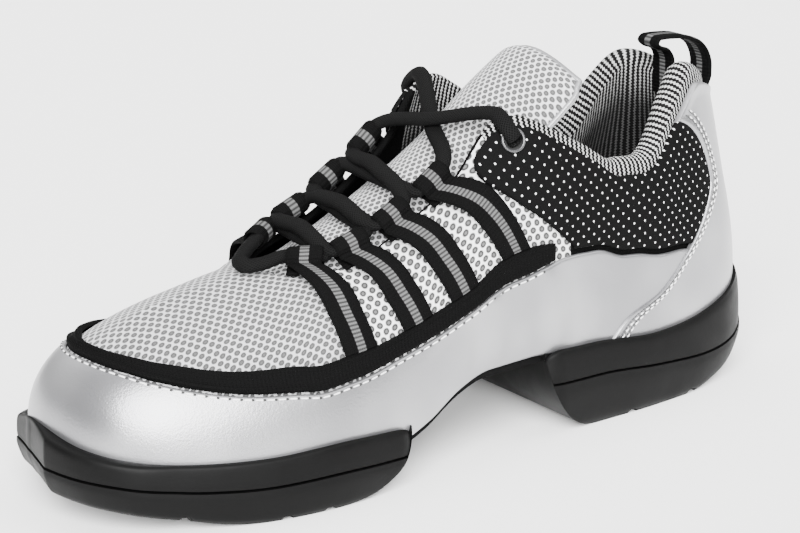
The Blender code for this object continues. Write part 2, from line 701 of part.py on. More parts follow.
def build_quarter(side, name):
    """The dotted padded panel of one side, from the lace tab to the counter's seam."""
    share, level = np.meshgrid(np.linspace(0, 1, 10), np.linspace(0, 1, 8), indexing="ij")
    turns, height = quarter_grid(share, level, side)
    return shell_patch(name, turns, height, SEAT, SEAT + COUNTER_THICKNESS, (0.04, 0.04, 0.04), 0.9)


def ribbon(name, path, across, out, width, thickness, colour, roughness=0.9):
    """A flat band along a path, with the directions of its width and of its outer face at each point."""
    half = across * width / 2
    outside = np.stack([path - half, path, path + half], axis=1) + (out * thickness / 2)[:, None]
    inside = outside - (out * thickness)[:, None]
    return slab(name, outside, inside, colour, roughness)


def strap_on_wall(side, place):
    """Turns and heights of a strap's three lines up the wall, from the binding to the throat's edge."""
    top_base, foot_base = place
    share, line = np.meshgrid(np.linspace(0, 1, 8), (-0.5, 0.0, 0.5), indexing="ij")
    height = 0.5 + 0.5 * share
    for _ in range(8):
        centre = foot_base + (top_base - foot_base) * (height - 0.5) / 0.5
        step = 1e-3
        ahead = np.linalg.norm(wall(turn_of(centre + step, side), height) - wall(turn_of(centre, side), height), axis=-1)
        turn = turn_of(centre + line * STRAP_WIDTH * step / ahead, side)
        low = guard_heights(base_of(turn), 2) + 3 * seat_gap(turn)
        height = low + (0.999 - low) * share
    return turn, height


def loop_frame(side, place):
    """Where a strap reaches the throat's edge, with the directions ahead along it, to its heel side and outwards."""
    turn, height = (grid[-2:] for grid in strap_on_wall(side, place))
    lines, out = wall(turn, height), normals(turn[-1, 1], height[-1, 1])
    across = lines[-1, 2] - lines[-1, 0]
    across = across * np.sign(across[0]) / np.linalg.norm(across)
    ahead = np.cross(across, out)
    ahead = ahead * np.sign(ahead @ (lines[-1, 1] - lines[-2, 1]))
    return lines[-1, 1], ahead, across, out


def build_strap(side, place, name):
    """One webbing strap: up the wall from the binding, then folded into a loop for the lace beyond the edge."""
    turn, height = strap_on_wall(side, place)
    rise = np.clip((height - STRAP_LIFT_FROM) / (STRAP_LIFT_TO - STRAP_LIFT_FROM), 0, 1)
    lift = rise * rise * (3 - 2 * rise) * (STRAP_THICKNESS + 4 * GAP)
    inside = wall(turn, height, SEAT + lift)
    outside = wall(turn, height, SEAT + lift + STRAP_THICKNESS)
    edge, ahead, across, out = loop_frame(side, place)
    across = across * np.sign(across @ (outside[-1, 2] - outside[-1, 0]))
    low, high, radius = LOOP_LOW, LOOP_LOW + 2 * LOOP_RADIUS, LOOP_RADIUS
    route = [(0.30, high * 0.90, -0.30), (0.60, high, 0.0)]
    for degrees in (36, 72, 108, 144, 180):
        a = math.radians(degrees)
        reach = STRAP_LOOP_CENTRE + radius * math.sin(a) / STRAP_LOOP_LENGTH
        route.append((reach, low + radius + radius * math.cos(a), a))
    route += [(0.30, low, math.pi), (-0.35, low, math.pi)]
    points = np.array([edge + ahead * a * STRAP_LOOP_LENGTH + out * n for a, n, _ in route])
    faces = np.array([out * math.cos(a) + ahead * math.sin(a) for _, _, a in route])
    half = across * STRAP_WIDTH / 2
    lines = np.stack([points - half, points, points + half], axis=1)
    shift = (faces * STRAP_THICKNESS / 2)[:, None]
    outside = np.concatenate([outside, lines + shift])
    inside = np.concatenate([inside, lines - shift])
    return slab(name, outside, inside, (0.04, 0.04, 0.04), 0.9)


def tongue_grid(shares):
    """Outer and inner faces of the tongue. shares run across it, from -1 at the outer side to 1 at the inner side."""
    rows = np.array(TONGUE)
    x = (TREAD_CENTRE - rows[:, 0]) * LAST_LENGTH
    z = rows[:, 1] * COLLAR_HEIGHT
    along = np.stack([np.gradient(x), np.zeros(len(x)), np.gradient(z)], axis=-1)
    up = np.stack([-along[:, 2], np.zeros(len(x)), along[:, 0]], axis=-1)
    up = up / np.linalg.norm(up, axis=-1, keepdims=True)
    across = shares[None, :]
    outer = np.zeros((len(rows), len(shares), 3))
    outer[..., 0] = x[:, None]
    outer[..., 1] = across * (rows[:, 2] * BALL_WIDTH)[:, None]
    outer[..., 2] = z[:, None]
    outer = outer - up[:, None] * (((rows[:, 3, None] * across - TONGUE_TILT) * across) * BALL_WIDTH)[..., None]
    thick = (rows[:, 4] * TONGUE_TOP_THICKNESS)[:, None] * (1 - 0.55 * across**4)
    return outer, outer - up[:, None] * thick[..., None]


def build_tongue():
    """The padded tongue: a curved pad from under the vamp to above the collar."""
    outer, inner = tongue_grid(np.linspace(-1, 1, 11))
    return slab("tongue", outer, inner, (0.55, 0.55, 0.56))


def tube(points, sides_of, width, thickness, count=6):
    """Rings of an oval cord along a path: sides_of gives the direction of its width at each point."""
    path = np.asarray(points, float)
    ahead = np.gradient(path, axis=0)
    ahead = ahead / np.linalg.norm(ahead, axis=-1, keepdims=True)
    side = sides_of - (sides_of * ahead).sum(-1, keepdims=True) * ahead
    side = side / np.linalg.norm(side, axis=-1, keepdims=True)
    up = np.cross(ahead, side)
    angle = np.linspace(0, 2 * math.pi, count, endpoint=False)
    rings = path[:, None] + (side * width / 2)[:, None] * np.cos(angle)[None, :, None]
    return rings + (up * thickness / 2)[:, None] * np.sin(angle)[None, :, None]


def tube_object(name, rings, colour):
    """A cord from its rings, closed by a flat end at each end."""
    columns, rows = rings.shape[:2]
    faces = grid_faces(columns, rows, close_rows=True)
    faces += [tuple(range(rows)), tuple(range((columns - 1) * rows, columns * rows))]
    return new_object(name, rings, faces, colour, 0.9)


def lace_end(side, place, end, stand):
    """Where a lace strand comes out of a strap's loop: at its toe side for end -1, at its heel side for end 1."""
    edge, ahead, across, out = loop_frame(side, place)
    reach = STRAP_LOOP_CENTRE * STRAP_LOOP_LENGTH + LOOP_RADIUS + STRAP_THICKNESS / 2 + stand
    return edge + ahead * reach + across * end * (STRAP_WIDTH - LACE_WIDTH) / 2 + out * (LOOP_LOW + LOOP_RADIUS)


def joined_strands(name, paths):
    """Cords along these paths, joined into one solid where they cross."""
    made = []
    for k, path in enumerate(paths):
        rings = tube(path, np.array([1.0, 0.0, 0.0]), LACE_WIDTH, LACE_THICKNESS)
        made.append(tube_object(f"{name}_{k}", rings, (0.02, 0.02, 0.02)))
    made[0].name = name
    for other in made[1:]:
        union = made[0].modifiers.new("crossing", "BOOLEAN")
        union.operation = "UNION"
        union.solver = "EXACT"
        union.object = other
        other.hide_render = True
        other.display_type = "WIRE"


def arched(start, end, swing):
    """A path from start to end that is moved by swing at its middle."""
    share = np.linspace(0, 1, 7)[:, None]
    return start + (end - start) * share + np.array(swing) * 4 * share * (1 - share)


def build_laces():
    """The lace on top of the tongue: a bar at the front loops, three rows that cross, and the top row."""
    bar, *rows, top_row = LACE_STANDS
    ends = [lace_end(side, STRAPS[0], -1, bar) for side in (LATERAL, MEDIAL)]
    joined_strands("lace_bar", [arched(*ends, LACE_BAR_SWING)])
    for k, (front, back, stand) in enumerate(zip(STRAPS, STRAPS[1:], rows)):
        paths = [
            arched(lace_end(side, front, 1, stand), lace_end(-side, back, -1, stand), (0, 0, LACE_CROWN))
            for side in (LATERAL, MEDIAL)
        ]
        joined_strands(f"lace_row_{k + 1}", paths)
    paths = []
    for side in (LATERAL, MEDIAL):
        over = wall(turn_of(LACE_TOP_BASE, -side), 1.0) + np.array([0.0, side * LACE_TOP_REACH, LACE_TOP_LIFT])
        paths.append(arched(lace_end(side, STRAPS[-1], 1, top_row), over, (0, 0, LACE_TOP_CROWN)))
    joined_strands("lace_top", paths)


def build_pull_loop():
    """The finger loop at the heel: up the outside of the counter, forward over the collar and down inside it."""
    turn, heights = np.array([1.0]), np.array([0.80, 0.88, 0.955])
    outside = wall(np.repeat(turn, 3), heights, np.full(3, SEAT + GAP + COUNTER_THICKNESS + PULL_LOOP_THICKNESS / 2))
    rim = top(np.array([1.0]))[0]
    rise, reach = PULL_LOOP_RISE, PULL_LOOP_REACH
    route = [
        (0.33, 0.10),
        (0.32, 0.42),
        (0.16, 0.74),
        (-0.20, 0.95),
        (-0.62, 1.02),
        (-0.93, 1.03),
        (-1.02, 0.93),
        (-0.93, 0.84),
        (-0.72, 0.74),
        (-0.62, 0.50),
        (-0.62, 0.10),
        (-0.62, -0.25),
    ]
    beyond = [(rim[0] + reach * a, rim[1], rim[2] + rise * b) for a, b in route]
    path = np.concatenate([outside, beyond])
    ahead = np.gradient(path, axis=0)
    ahead = ahead / np.linalg.norm(ahead, axis=-1, keepdims=True)
    across = np.repeat(np.array([[0.0, 1.0, 0.0]]), len(path), axis=0)
    out = np.cross(ahead, across)
    return ribbon("pull_loop", path, across, out, PULL_LOOP_WIDTH, PULL_LOOP_THICKNESS, (0.04, 0.04, 0.04))


def eyelet_place(side):
    """Centre and outward direction of a top eyelet on the quarter's outer face."""
    turn = turn_of(EYELET_PLACE, side)
    out = normals(turn, EYELET_HEIGHT)
    return wall(turn, EYELET_HEIGHT, np.array(SEAT + GAP + COUNTER_THICKNESS + EYELET_STAND)), out


def build_eyelet(side, name):
    """A pressed ring round the top lace hole."""
    centre, out = eyelet_place(side)
    first = np.cross(out, np.array([1.0, 0.0, 0.0]))
    first = first / np.linalg.norm(first)
    second = np.cross(out, first)
    middle = (EYELET_RADIUS + EYELET_HOLE) / 2
    half_wide, half_high = (EYELET_RADIUS - EYELET_HOLE) / 2, EYELET_THICKNESS / 2
    turn, section = np.meshgrid(
        np.linspace(0, 2 * math.pi, 16, endpoint=False), np.linspace(0, 2 * math.pi, 6, endpoint=False), indexing="ij"
    )
    radius = middle + half_wide * np.cos(section)
    points = centre + (radius * np.cos(turn))[..., None] * first + (radius * np.sin(turn))[..., None] * second
    points = points + (half_high + half_high * np.sin(section))[..., None] * out
    faces = grid_faces(16, 6, close_columns=True, close_rows=True)
    return new_object(name, points, faces, (0.05, 0.05, 0.05), 0.3, 0.8)


def clear_scene():
    """Removes every object of the starting scene."""
    for old in list(bpy.data.objects):
        bpy.data.objects.remove(old)


def main():
    clear_scene()
    build_upper()
    plate("arch_board", 0.0, -GAP - BOARD_THICKNESS, -GAP, (0.02, 0.02, 0.02))
    plate("insole", WALL + 2 * GAP, 0.0, INSOLE_THICKNESS, (0.1, 0.1, 0.1))
    build_soles()
    build_guard()
    build_binding()
    build_counter()
    build_tongue()
    build_pull_loop()
    for side, word in ((LATERAL, "outer"), (MEDIAL, "inner")):
        build_quarter(side, f"quarter_{word}")
        build_eyelet(side, f"eyelet_{word}")
        for k, place in enumerate(STRAPS):
            build_strap(side, place, f"strap_{word}_{k + 1}")
    build_laces()


main()
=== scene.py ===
"""Looks of the dance sneaker: fine surfaces over the CAD frame, with a floor, light and camera.

The shoe's shape is one wall, as in the CAD source: a ring of columns that run from the bottom edge of the
upper to its top edge, numbered by a turn from -1 at the heel, round the outer side to 0 at the toe, and back
round the inner side to 1 at the heel. The tables and the functions of that wall are the source's own, so that
each fine piece lies where its CAD solid is. Metres, +Z up, toe along -X, outer side facing -Y.
"""

import math

import bmesh
import bpy
import numpy as np
from mathutils import Matrix, Vector


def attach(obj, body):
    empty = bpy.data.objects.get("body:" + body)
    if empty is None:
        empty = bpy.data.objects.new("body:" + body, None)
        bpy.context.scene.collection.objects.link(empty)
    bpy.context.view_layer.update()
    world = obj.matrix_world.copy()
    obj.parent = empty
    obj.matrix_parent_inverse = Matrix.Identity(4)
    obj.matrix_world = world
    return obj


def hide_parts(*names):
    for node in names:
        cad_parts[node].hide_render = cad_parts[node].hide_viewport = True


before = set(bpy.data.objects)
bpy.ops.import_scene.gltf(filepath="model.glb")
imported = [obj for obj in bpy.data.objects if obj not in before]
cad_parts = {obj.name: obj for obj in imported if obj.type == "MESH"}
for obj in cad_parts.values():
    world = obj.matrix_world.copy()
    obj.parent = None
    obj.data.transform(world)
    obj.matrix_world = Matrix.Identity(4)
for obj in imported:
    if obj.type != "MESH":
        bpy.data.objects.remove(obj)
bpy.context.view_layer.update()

# Main sizes of the upper
LAST_LENGTH = 0.262
BALL_WIDTH = 0.088
COLLAR_HEIGHT = 0.112
HEEL_SEAT_HEIGHT = 0.022

# Walls, plates and coverings
WALL = 0.0024
COLLAR_PAD = 0.0062
PAD_FRONT = 0.350
PAD_FADE = 0.090
BOARD_THICKNESS = 0.0024
INSOLE_THICKNESS = 0.0040
GUARD_THICKNESS = 0.0010
BINDING_THICKNESS = 0.0018
COUNTER_THICKNESS = 0.0010
GAP = 0.0003
SEAT = 0.0007

# Soles
SOLE_LIP_LEAST = 0.0014
SOLE_LIP_SHARE = 0.55
SOLE_BULGE = 0.0052
SOLE_GROOVE_DEPTH = 0.0014
FINE_GROOVE_HALF = 0.0004
TREAD_INSET = 0.0030
TOE_FACE_REACH = 0.0030
TOE_FACE_MOST = 0.0068
TOE_FACE_TURN_DEG = 11.0
TOE_FACE_FROM, TOE_FACE_FADE = 0.90, 0.05
TOE_FACE_LEAST_FACING = 0.2
LUG_GROOVE_DEPTH = 0.0013
LUG_GROOVE_WIDTH = 0.0032
PAD_END_LENGTH = 0.026
PAD_END_DROP = 0.0040
PAD_END_INSET = 0.0030

# Straps, laces and fittings
STRAP_WIDTH = 0.0118
STRAP_THICKNESS = 0.0014
STRAP_LOOP_OPENING = 0.0042
STRAP_LOOP_LENGTH = 0.0065
STRAP_LOOP_CENTRE = 0.70
STRAP_LIFT_FROM = 0.66
STRAP_LIFT_TO = 0.84
LACE_WIDTH = 0.0046
LACE_THICKNESS = 0.0034
LACE_WIDER, LACE_THICKER = 1.22, 1.12
LACE_FACING = (-0.45, 0.0, 0.9)
LACE_CROWN = 0.0020
LACE_BAR_SWING = (-0.0115, -0.0020, -0.0030)
LACE_TOP_BASE = 0.436
LACE_TOP_SAG = -0.0015
EYELET_RADIUS = 0.0042
EYELET_RIM = 0.00055
EYELET_STAND = 0.0004
TONGUE_TOP_THICKNESS = 0.0085
TONGUE_TILT = 0.004
TONGUE_PIPING = 0.0021
LOOP_LOW = SEAT + GAP + STRAP_THICKNESS / 2
LOOP_RADIUS = (STRAP_THICKNESS + STRAP_LOOP_OPENING) / 2
PULL_LOOP_WIDTH = 0.0115
PULL_LOOP_THICKNESS = 0.0014
PULL_LOOP_RISE = 0.0165
PULL_LOOP_REACH = 0.0175

# Footprint of the upper: along as a share of LAST_LENGTH from the heel, half widths of BALL_WIDTH,
# height of the bottom edge of HEEL_SEAT_HEIGHT
#    along, lateral, medial, seat
FOOTPRINT = (
    (0.000, 0.000, 0.000, 1.00),
    (0.020, 0.150, 0.150, 1.00),
    (0.080, 0.275, 0.275, 1.00),
    (0.200, 0.345, 0.345, 1.02),
    (0.310, 0.365, 0.325, 1.20),
    (0.410, 0.385, 0.300, 1.33),
    (0.475, 0.405, 0.298, 1.33),
    (0.525, 0.425, 0.312, 1.18),
    (0.580, 0.450, 0.350, 0.83),
    (0.640, 0.480, 0.410, 0.62),
    (0.720, 0.505, 0.465, 0.58),
    (0.800, 0.480, 0.480, 0.59),
    (0.880, 0.405, 0.450, 0.67),
    (0.940, 0.305, 0.390, 0.78),
    (0.980, 0.165, 0.290, 0.88),
    (1.000, -0.115, 0.115, 0.92),
)

# Top edge of each column: along of LAST_LENGTH, half widths of BALL_WIDTH, heights of COLLAR_HEIGHT
#    base, along, lateral, medial, lateral height, medial height
TOPLINE = (
    (0.000, 0.044, 0.000, 0.000, 0.925, 0.925),
    (0.020, 0.060, 0.125, 0.125, 0.948, 0.950),
    (0.080, 0.102, 0.205, 0.205, 0.985, 0.985),
    (0.140, 0.143, 0.262, 0.258, 0.905, 0.905),
    (0.200, 0.194, 0.305, 0.298, 0.762, 0.762),
    (0.260, 0.252, 0.330, 0.318, 0.760, 0.750),
    (0.310, 0.305, 0.335, 0.318, 0.838, 0.865),
    (0.370, 0.362, 0.315, 0.300, 0.925, 0.972),
    (0.410, 0.400, 0.285, 0.275, 0.962, 1.015),
    (0.445, 0.430, 0.262, 0.252, 0.945, 1.000),
    (0.515, 0.487, 0.252, 0.222, 0.795, 0.850),
    (0.580, 0.552, 0.246, 0.210, 0.700, 0.745),
    (0.640, 0.612, 0.240, 0.208, 0.628, 0.665),
    (0.690, 0.662, 0.218, 0.198, 0.596, 0.625),
    (0.720, 0.694, 0.172, 0.168, 0.590, 0.608),
    (0.742, 0.714, 0.104, 0.108, 0.592, 0.600),
    (0.756, 0.724, 0.000, 0.000, 0.596, 0.596),
    (0.800, 0.750, 0.000, 0.000, 0.588, 0.588),
    (0.880, 0.795, 0.000, 0.000, 0.568, 0.568),
    (0.940, 0.830, 0.000, 0.000, 0.550, 0.550),
    (0.980, 0.852, 0.000, 0.000, 0.540, 0.540),
    (1.000, 0.862, 0.000, 0.000, 0.536, 0.536),
)
RIDGE_FROM = 0.756
# Columns of the ring, closer together where the shape turns fast: from base, to base, how many
COLUMNS = (
    (0.00, 0.10, 5),
    (0.10, 0.46, 9),
    (0.46, 0.70, 6),
    (0.70, RIDGE_FROM, 3),
    (RIDGE_FROM, 0.92, 4),
    (0.92, 1.00, 5),
)
RIDGE_SLOPE = -0.42
RIDGE_TIP = 0.045

# How each column bows between its two ends: reach up and outward lean at the foot, spread and drop at the
# top. Reach and drop are shares of the column's height, lean and spread of BALL_WIDTH
#    base, reach, lean, spread, drop
BOW = (
    (0.000, 0.34, 0.055, 0.045, 0.34),
    (0.080, 0.34, 0.050, 0.060, 0.34),
    (0.200, 0.34, 0.050, 0.060, 0.34),
    (0.310, 0.34, 0.055, 0.070, 0.34),
    (0.420, 0.36, 0.060, 0.110, 0.28),
    (0.515, 0.36, 0.060, 0.160, 0.18),
    (0.640, 0.38, 0.050, 0.172, 0.12),
    (0.690, 0.40, 0.042, 0.195, 0.08),
    (0.720, 0.42, 0.035, 0.240, 0.05),
    (0.742, 0.44, 0.032, 0.295, 0.02),
    (0.756, 0.46, 0.030, 0.345, 0.00),
    (0.800, 0.50, 0.025, 0.318, 0.00),
    (0.880, 0.56, 0.020, 0.280, 0.00),
    (0.940, 0.62, 0.020, 0.255, 0.00),
    (1.000, 0.66, 0.020, 0.245, 0.00),
)

# Top edges of the silver guard and of the black binding above it, as shares of the column's height
#    base, guard top, binding top
GUARD = (
    (0.100, 0.330, 0.330),
    (0.130, 0.375, 0.375),
    (0.165, 0.445, 0.445),
    (0.200, 0.510, 0.510),
    (0.240, 0.545, 0.545),
    (0.285, 0.545, 0.545),
    (0.330, 0.495, 0.510),
    (0.360, 0.445, 0.500),
    (0.410, 0.356, 0.456),
    (0.490, 0.344, 0.446),
    (0.590, 0.400, 0.498),
    (0.630, 0.415, 0.512),
    (0.700, 0.381, 0.492),
    (0.750, 0.340, 0.446),
    (0.848, 0.363, 0.458),
    (0.936, 0.438, 0.535),
    (1.000, 0.560, 0.650),
)
BINDING_FROM = 0.372

# Front edge of the heel counter, and front edge of the dotted quarter
#    height, counter base
COUNTER_EDGE = (
    (0.000, 0.274),
    (0.194, 0.238),
    (0.312, 0.180),
    (0.400, 0.132),
    (0.481, 0.098),
    (0.588, 0.074),
    (0.700, 0.082),
    (0.850, 0.112),
    (1.000, 0.152),
)
#    height, quarter base
QUARTER_EDGE = (
    (0.500, 0.345),
    (0.537, 0.368),
    (0.613, 0.418),
    (0.750, 0.465),
    (1.000, 0.496),
)
OVERLAY_TOP = 0.965
TAB_CORNER_FROM, TAB_CORNER = 0.86, 0.016
QUARTER_SWELL = 0.0009
QUARTER_SWELL_WIDTH = 0.009

# Creases of the guard over the arch and behind the toe
#    base, half width of LAST_LENGTH, lift in metres, from height share, to height share
CREASES = (
    (0.345, 0.012, -0.00085, 0.02, 0.42),
    (0.375, 0.009, 0.00060, 0.02, 0.40),
    (0.402, 0.010, -0.00075, 0.02, 0.38),
    (0.440, 0.011, -0.00060, 0.02, 0.36),
    (0.470, 0.010, 0.00055, 0.02, 0.36),
    (0.505, 0.014, -0.00070, 0.02, 0.36),
    (0.290, 0.014, -0.00055, 0.05, 0.44),
    (0.560, 0.018, -0.00050, 0.04, 0.36),
)
CREASE_FADE = 0.06
CREASE_BORDER = 0.004
CREASE_LEAN = 0.05
INNER_CREASE_SHARE = 0.6

# Soles: tread and lip heights of HEEL_SEAT_HEIGHT, and the side groove's place between them
#    base, tread, lip, groove
SOLE = (
    (0.000, 0.42, 1.66, 0.36),
    (0.030, 0.30, 1.54, 0.36),
    (0.080, 0.12, 1.40, 0.42),
    (0.140, 0.00, 1.26, 0.52),
    (0.220, 0.00, 1.22, 0.60),
    (0.290, 0.00, 1.34, 0.62),
    (0.325, 0.00, 1.34, 0.62),
    (0.360, 0.00, 1.34, 0.62),
    (0.420, 0.00, 1.41, 0.62),
    (0.520, 0.00, 1.30, 0.60),
    (0.570, 0.00, 1.06, 0.58),
    (0.607, 0.00, 0.90, 0.56),
    (0.650, 0.00, 0.94, 0.55),
    (0.720, 0.00, 0.99, 0.57),
    (0.800, 0.00, 0.96, 0.58),
    (0.850, 0.04, 0.97, 0.58),
    (0.900, 0.16, 1.00, 0.56),
    (0.950, 0.29, 1.07, 0.56),
    (0.985, 0.37, 1.18, 0.52),
    (1.000, 0.40, 1.34, 0.44),
)
TREAD_CENTRE = 0.185
SPINE_HEEL = 0.090
SPINE_TOE = 0.900
FOREFOOT_REAR = 0.612
FOREFOOT_FLOOR = 0.715
HEEL_FRONT = 0.386
HEEL_FLOOR = 0.300
LUG_GROOVES_FOREFOOT = (0.735, 0.790, 0.905)
LUG_GROOVES_HEEL = (0.130, 0.240)

# Lace straps, front to back: where each stands at the throat and on the binding
#    top base, foot base
STRAPS = (
    (0.714, 0.686),
    (0.652, 0.603),
    (0.590, 0.535),
    (0.530, 0.448),
)
EYELET_PLACE = 0.424
EYELET_HEIGHT = 0.900

# Tongue: along of LAST_LENGTH, outer face's height at its middle of COLLAR_HEIGHT, half width and side drop
# of BALL_WIDTH, thickness of TONGUE_TOP_THICKNESS
#    along, height, half width, drop, thickness
TONGUE = (
    (0.735, 0.545, 0.210, 0.056, 0.30),
    (0.690, 0.587, 0.232, 0.068, 0.34),
    (0.620, 0.658, 0.254, 0.086, 0.38),
    (0.550, 0.745, 0.260, 0.102, 0.42),
    (0.480, 0.844, 0.262, 0.120, 0.50),
    (0.430, 0.928, 0.268, 0.138, 0.70),
    (0.380, 1.020, 0.270, 0.150, 0.95),
    (0.330, 1.096, 0.264, 0.138, 1.00),
    (0.308, 1.122, 0.240, 0.120, 0.70),
)

LATERAL, MEDIAL = -1, 1


def smooth(at, knots, values):
    """A curve through the values at the knots whose slope at a knot is the mean of the slopes beside it."""
    at = np.asarray(at, float)
    knots = np.asarray(knots, float)
    values = np.asarray(values, float)
    steps = np.diff(knots)
    chords = np.diff(values) / steps
    slopes = np.concatenate([chords[:1], (chords[1:] + chords[:-1]) / 2, chords[-1:]])
    flat = np.concatenate([[False], chords[1:] * chords[:-1] <= 0, [False]])
    slopes = np.where(flat, 0.0, slopes)
    cell = np.clip(np.searchsorted(knots, at, side="right") - 1, 0, len(steps) - 1)
    share = np.clip((at - knots[cell]) / steps[cell], 0, 1)
    rise = share * share * (3 - 2 * share)
    lead = share * (1 - share) ** 2 * steps[cell]
    trail = share * share * (share - 1) * steps[cell]
    start, end = values[cell], values[cell + 1]
    return start + (end - start) * rise + slopes[cell] * lead + slopes[cell + 1] * trail


def unit(vectors):
    """The same directions with length one."""
    return vectors / np.linalg.norm(vectors, axis=-1, keepdims=True)


def seat_gap(turn):
    """The clearance between pieces as a share of each column's length."""
    return GAP / np.linalg.norm(top(turn) - foot(turn), axis=-1)


def turn_of(base, side):
    """The turn round the shoe of a column that stands at this share of the length, on this side."""
    return side * np.arccos(np.clip(2 * np.asarray(base, float) - 1, -1, 1)) / math.pi


def base_of(turn):
    """The share of the length at which a column stands."""
    return (1 + np.cos(math.pi * np.asarray(turn, float))) / 2


def round_ring(turn, table, lateral_column, medial_column, sign=1):
    """A table's values as one smooth curve round the shoe, outer side first."""
    rows = np.array(table)
    turns = np.concatenate([turn_of(rows[:, 0], LATERAL), turn_of(rows[-2::-1, 0], MEDIAL)])
    values = np.concatenate([rows[:, lateral_column], sign * rows[-2::-1, medial_column]])
    wrapped = (np.asarray(turn, float) + 1) % 2 - 1
    ends = np.concatenate([turns[-2:-1] - 2, turns, turns[1:2] + 2])
    return smooth(wrapped, ends, np.concatenate([values[-2:-1], values, values[1:2]]))


def foot(turn):
    """Bottom edge of the wall: (x, y, z) of each column."""
    wrapped = np.asarray(turn, float)
    x = (TREAD_CENTRE - base_of(wrapped)) * LAST_LENGTH
    y = -round_ring(wrapped, FOOTPRINT, 1, 2, sign=-1) * BALL_WIDTH
    z = round_ring(wrapped, FOOTPRINT, 3, 3) * HEEL_SEAT_HEIGHT
    return np.stack([x, y, z], -1)


def outward(turn):
    """Level unit vector away from the shoe at each column's foot."""
    step = 1e-4
    along = foot(np.asarray(turn) + step) - foot(np.asarray(turn) - step)
    away = np.stack([-along[..., 1], along[..., 0], np.zeros_like(along[..., 0])], -1)
    return unit(away)


def top(turn):
    """Top edge of the wall: the collar, the throat's edge, then the ridge of the forefoot."""
    x = (TREAD_CENTRE - round_ring(turn, TOPLINE, 1, 1)) * LAST_LENGTH
    y = -round_ring(turn, TOPLINE, 2, 3, sign=-1) * BALL_WIDTH
    z = round_ring(turn, TOPLINE, 4, 5) * COLLAR_HEIGHT
    beyond = (base_of(turn) - RIDGE_FROM) / (1 - RIDGE_FROM)
    y = np.where(beyond > -1e-6, RIDGE_TIP * beyond * BALL_WIDTH, y)
    return np.stack([x, y, z], -1)


def middle_surface(turn, height):
    """The wall's outer face before any padding: each column is a cubic with a handle at either end."""
    turn, height = np.broadcast_arrays(np.asarray(turn, float), np.asarray(height, float))
    low, high, away = foot(turn), top(turn), outward(turn)
    rise = high[..., 2] - low[..., 2]
    reach, lean, spread, drop = (round_ring(turn, BOW, k, k) for k in (1, 2, 3, 4))
    up = np.array([0.0, 0.0, 1.0])
    first = low + (reach * rise)[..., None] * up + (lean * BALL_WIDTH)[..., None] * away
    second = high + (spread * BALL_WIDTH)[..., None] * away - (drop * rise)[..., None] * up
    on_ridge = np.clip((base_of(turn) - RIDGE_FROM) / (1 - RIDGE_FROM), 0, 1) > 0
    tilt = np.where(on_ridge, RIDGE_SLOPE * spread * BALL_WIDTH * -away[..., 0], 0)
    second = second + tilt[..., None] * up
    t = height[..., None]
    return (1 - t) ** 3 * low + 3 * t * (1 - t) ** 2 * first + 3 * t * t * (1 - t) * second + t**3 * high


def normals(turn, height):
    """Outward unit normals of the wall's outer face."""
    turn, height = np.broadcast_arrays(np.asarray(turn, float), np.asarray(height, float))
    step = 1e-3
    inside = np.clip(height, step, 1 - step)
    round_way = middle_surface(turn + step, inside) - middle_surface(turn - step, inside)
    up_way = middle_surface(turn, inside + step) - middle_surface(turn, inside - step)
    return unit(np.cross(up_way, round_way))


def padding(turn, height):
    """Share of the full collar padding: all of it at the rim of the collar, none on the forefoot."""
    ring = np.clip((PAD_FRONT - base_of(turn)) / PAD_FADE, 0, 1)
    up = np.clip((np.asarray(height) - 0.55) / 0.37, 0, 1)
    return ring * up * up * (3 - 2 * up)


def wall(turn, height, out=0.0):
    """A point of the wall, moved out along its normal. The collar's face swells by a sixth of its padding."""
    swell = padding(turn, height) * COLLAR_PAD / 6
    return middle_surface(turn, height) + (out + swell)[..., None] * normals(turn, height)


def fine_ring():
    """Turns of the columns of a full ring, heel to heel, closer together where the shape turns fast."""
    shares = []
    for first, last, count in COLUMNS:
        ends = turn_of(first, MEDIAL), turn_of(last, MEDIAL)
        shares.append(np.linspace(*ends, count * COLUMN_SPLIT, endpoint=False))
    one_side = np.concatenate(shares + [[0.0]])
    return np.concatenate([-one_side, one_side[-2:0:-1]])


def edge_base(table, height):
    """Where an edge of a panel stands, from a table of heights and base shares."""
    rows = np.array(table)
    return smooth(height, rows[:, 0], rows[:, 1])


def guard_heights(base, column):
    """The guard's or the binding's top edge at these columns."""
    rows = np.array(GUARD)
    return smooth(np.clip(base, rows[0, 0], 1.0), rows[:, 0], rows[:, column])


def quarter_grid(share, level, side):
    """Turns and heights of the quarter: share runs back from its front edge, level up from the guard."""
    height = 0.5 + 0.4 * level
    for _ in range(SETTLE_ROUNDS):
        front = edge_base(QUARTER_EDGE, height)
        rear = base_of(turn_of(edge_base(COUNTER_EDGE, height), LATERAL) + GAP / BALL_WIDTH)
        turns = turn_of(front + (rear - front) * share, side)
        low = guard_heights(base_of(turns), 1) + 4 * seat_gap(turns)
        height = (height + low + (OVERLAY_TOP - low) * level) / 2
    return turns, height


# How fine the surfaces are, and how their borders are rounded
COLUMN_SPLIT = 7
UPPER_LEVELS = 54
RIM_LEVELS = 10
RIM_STEPS = 9
BAND_STEPS = 22
BAND_LINES = 11
STRAP_STEPS = 120
PAD_COLUMNS = 420
LACE_STEPS = 900
EDGE_ROUND = 0.0009
TONGUE_ROUND = 0.0042
WEBBING_ROUND = 0.0010
MERGE_WITHIN = 1.5e-6
MERGE_STITCHES_WITHIN = 1e-7

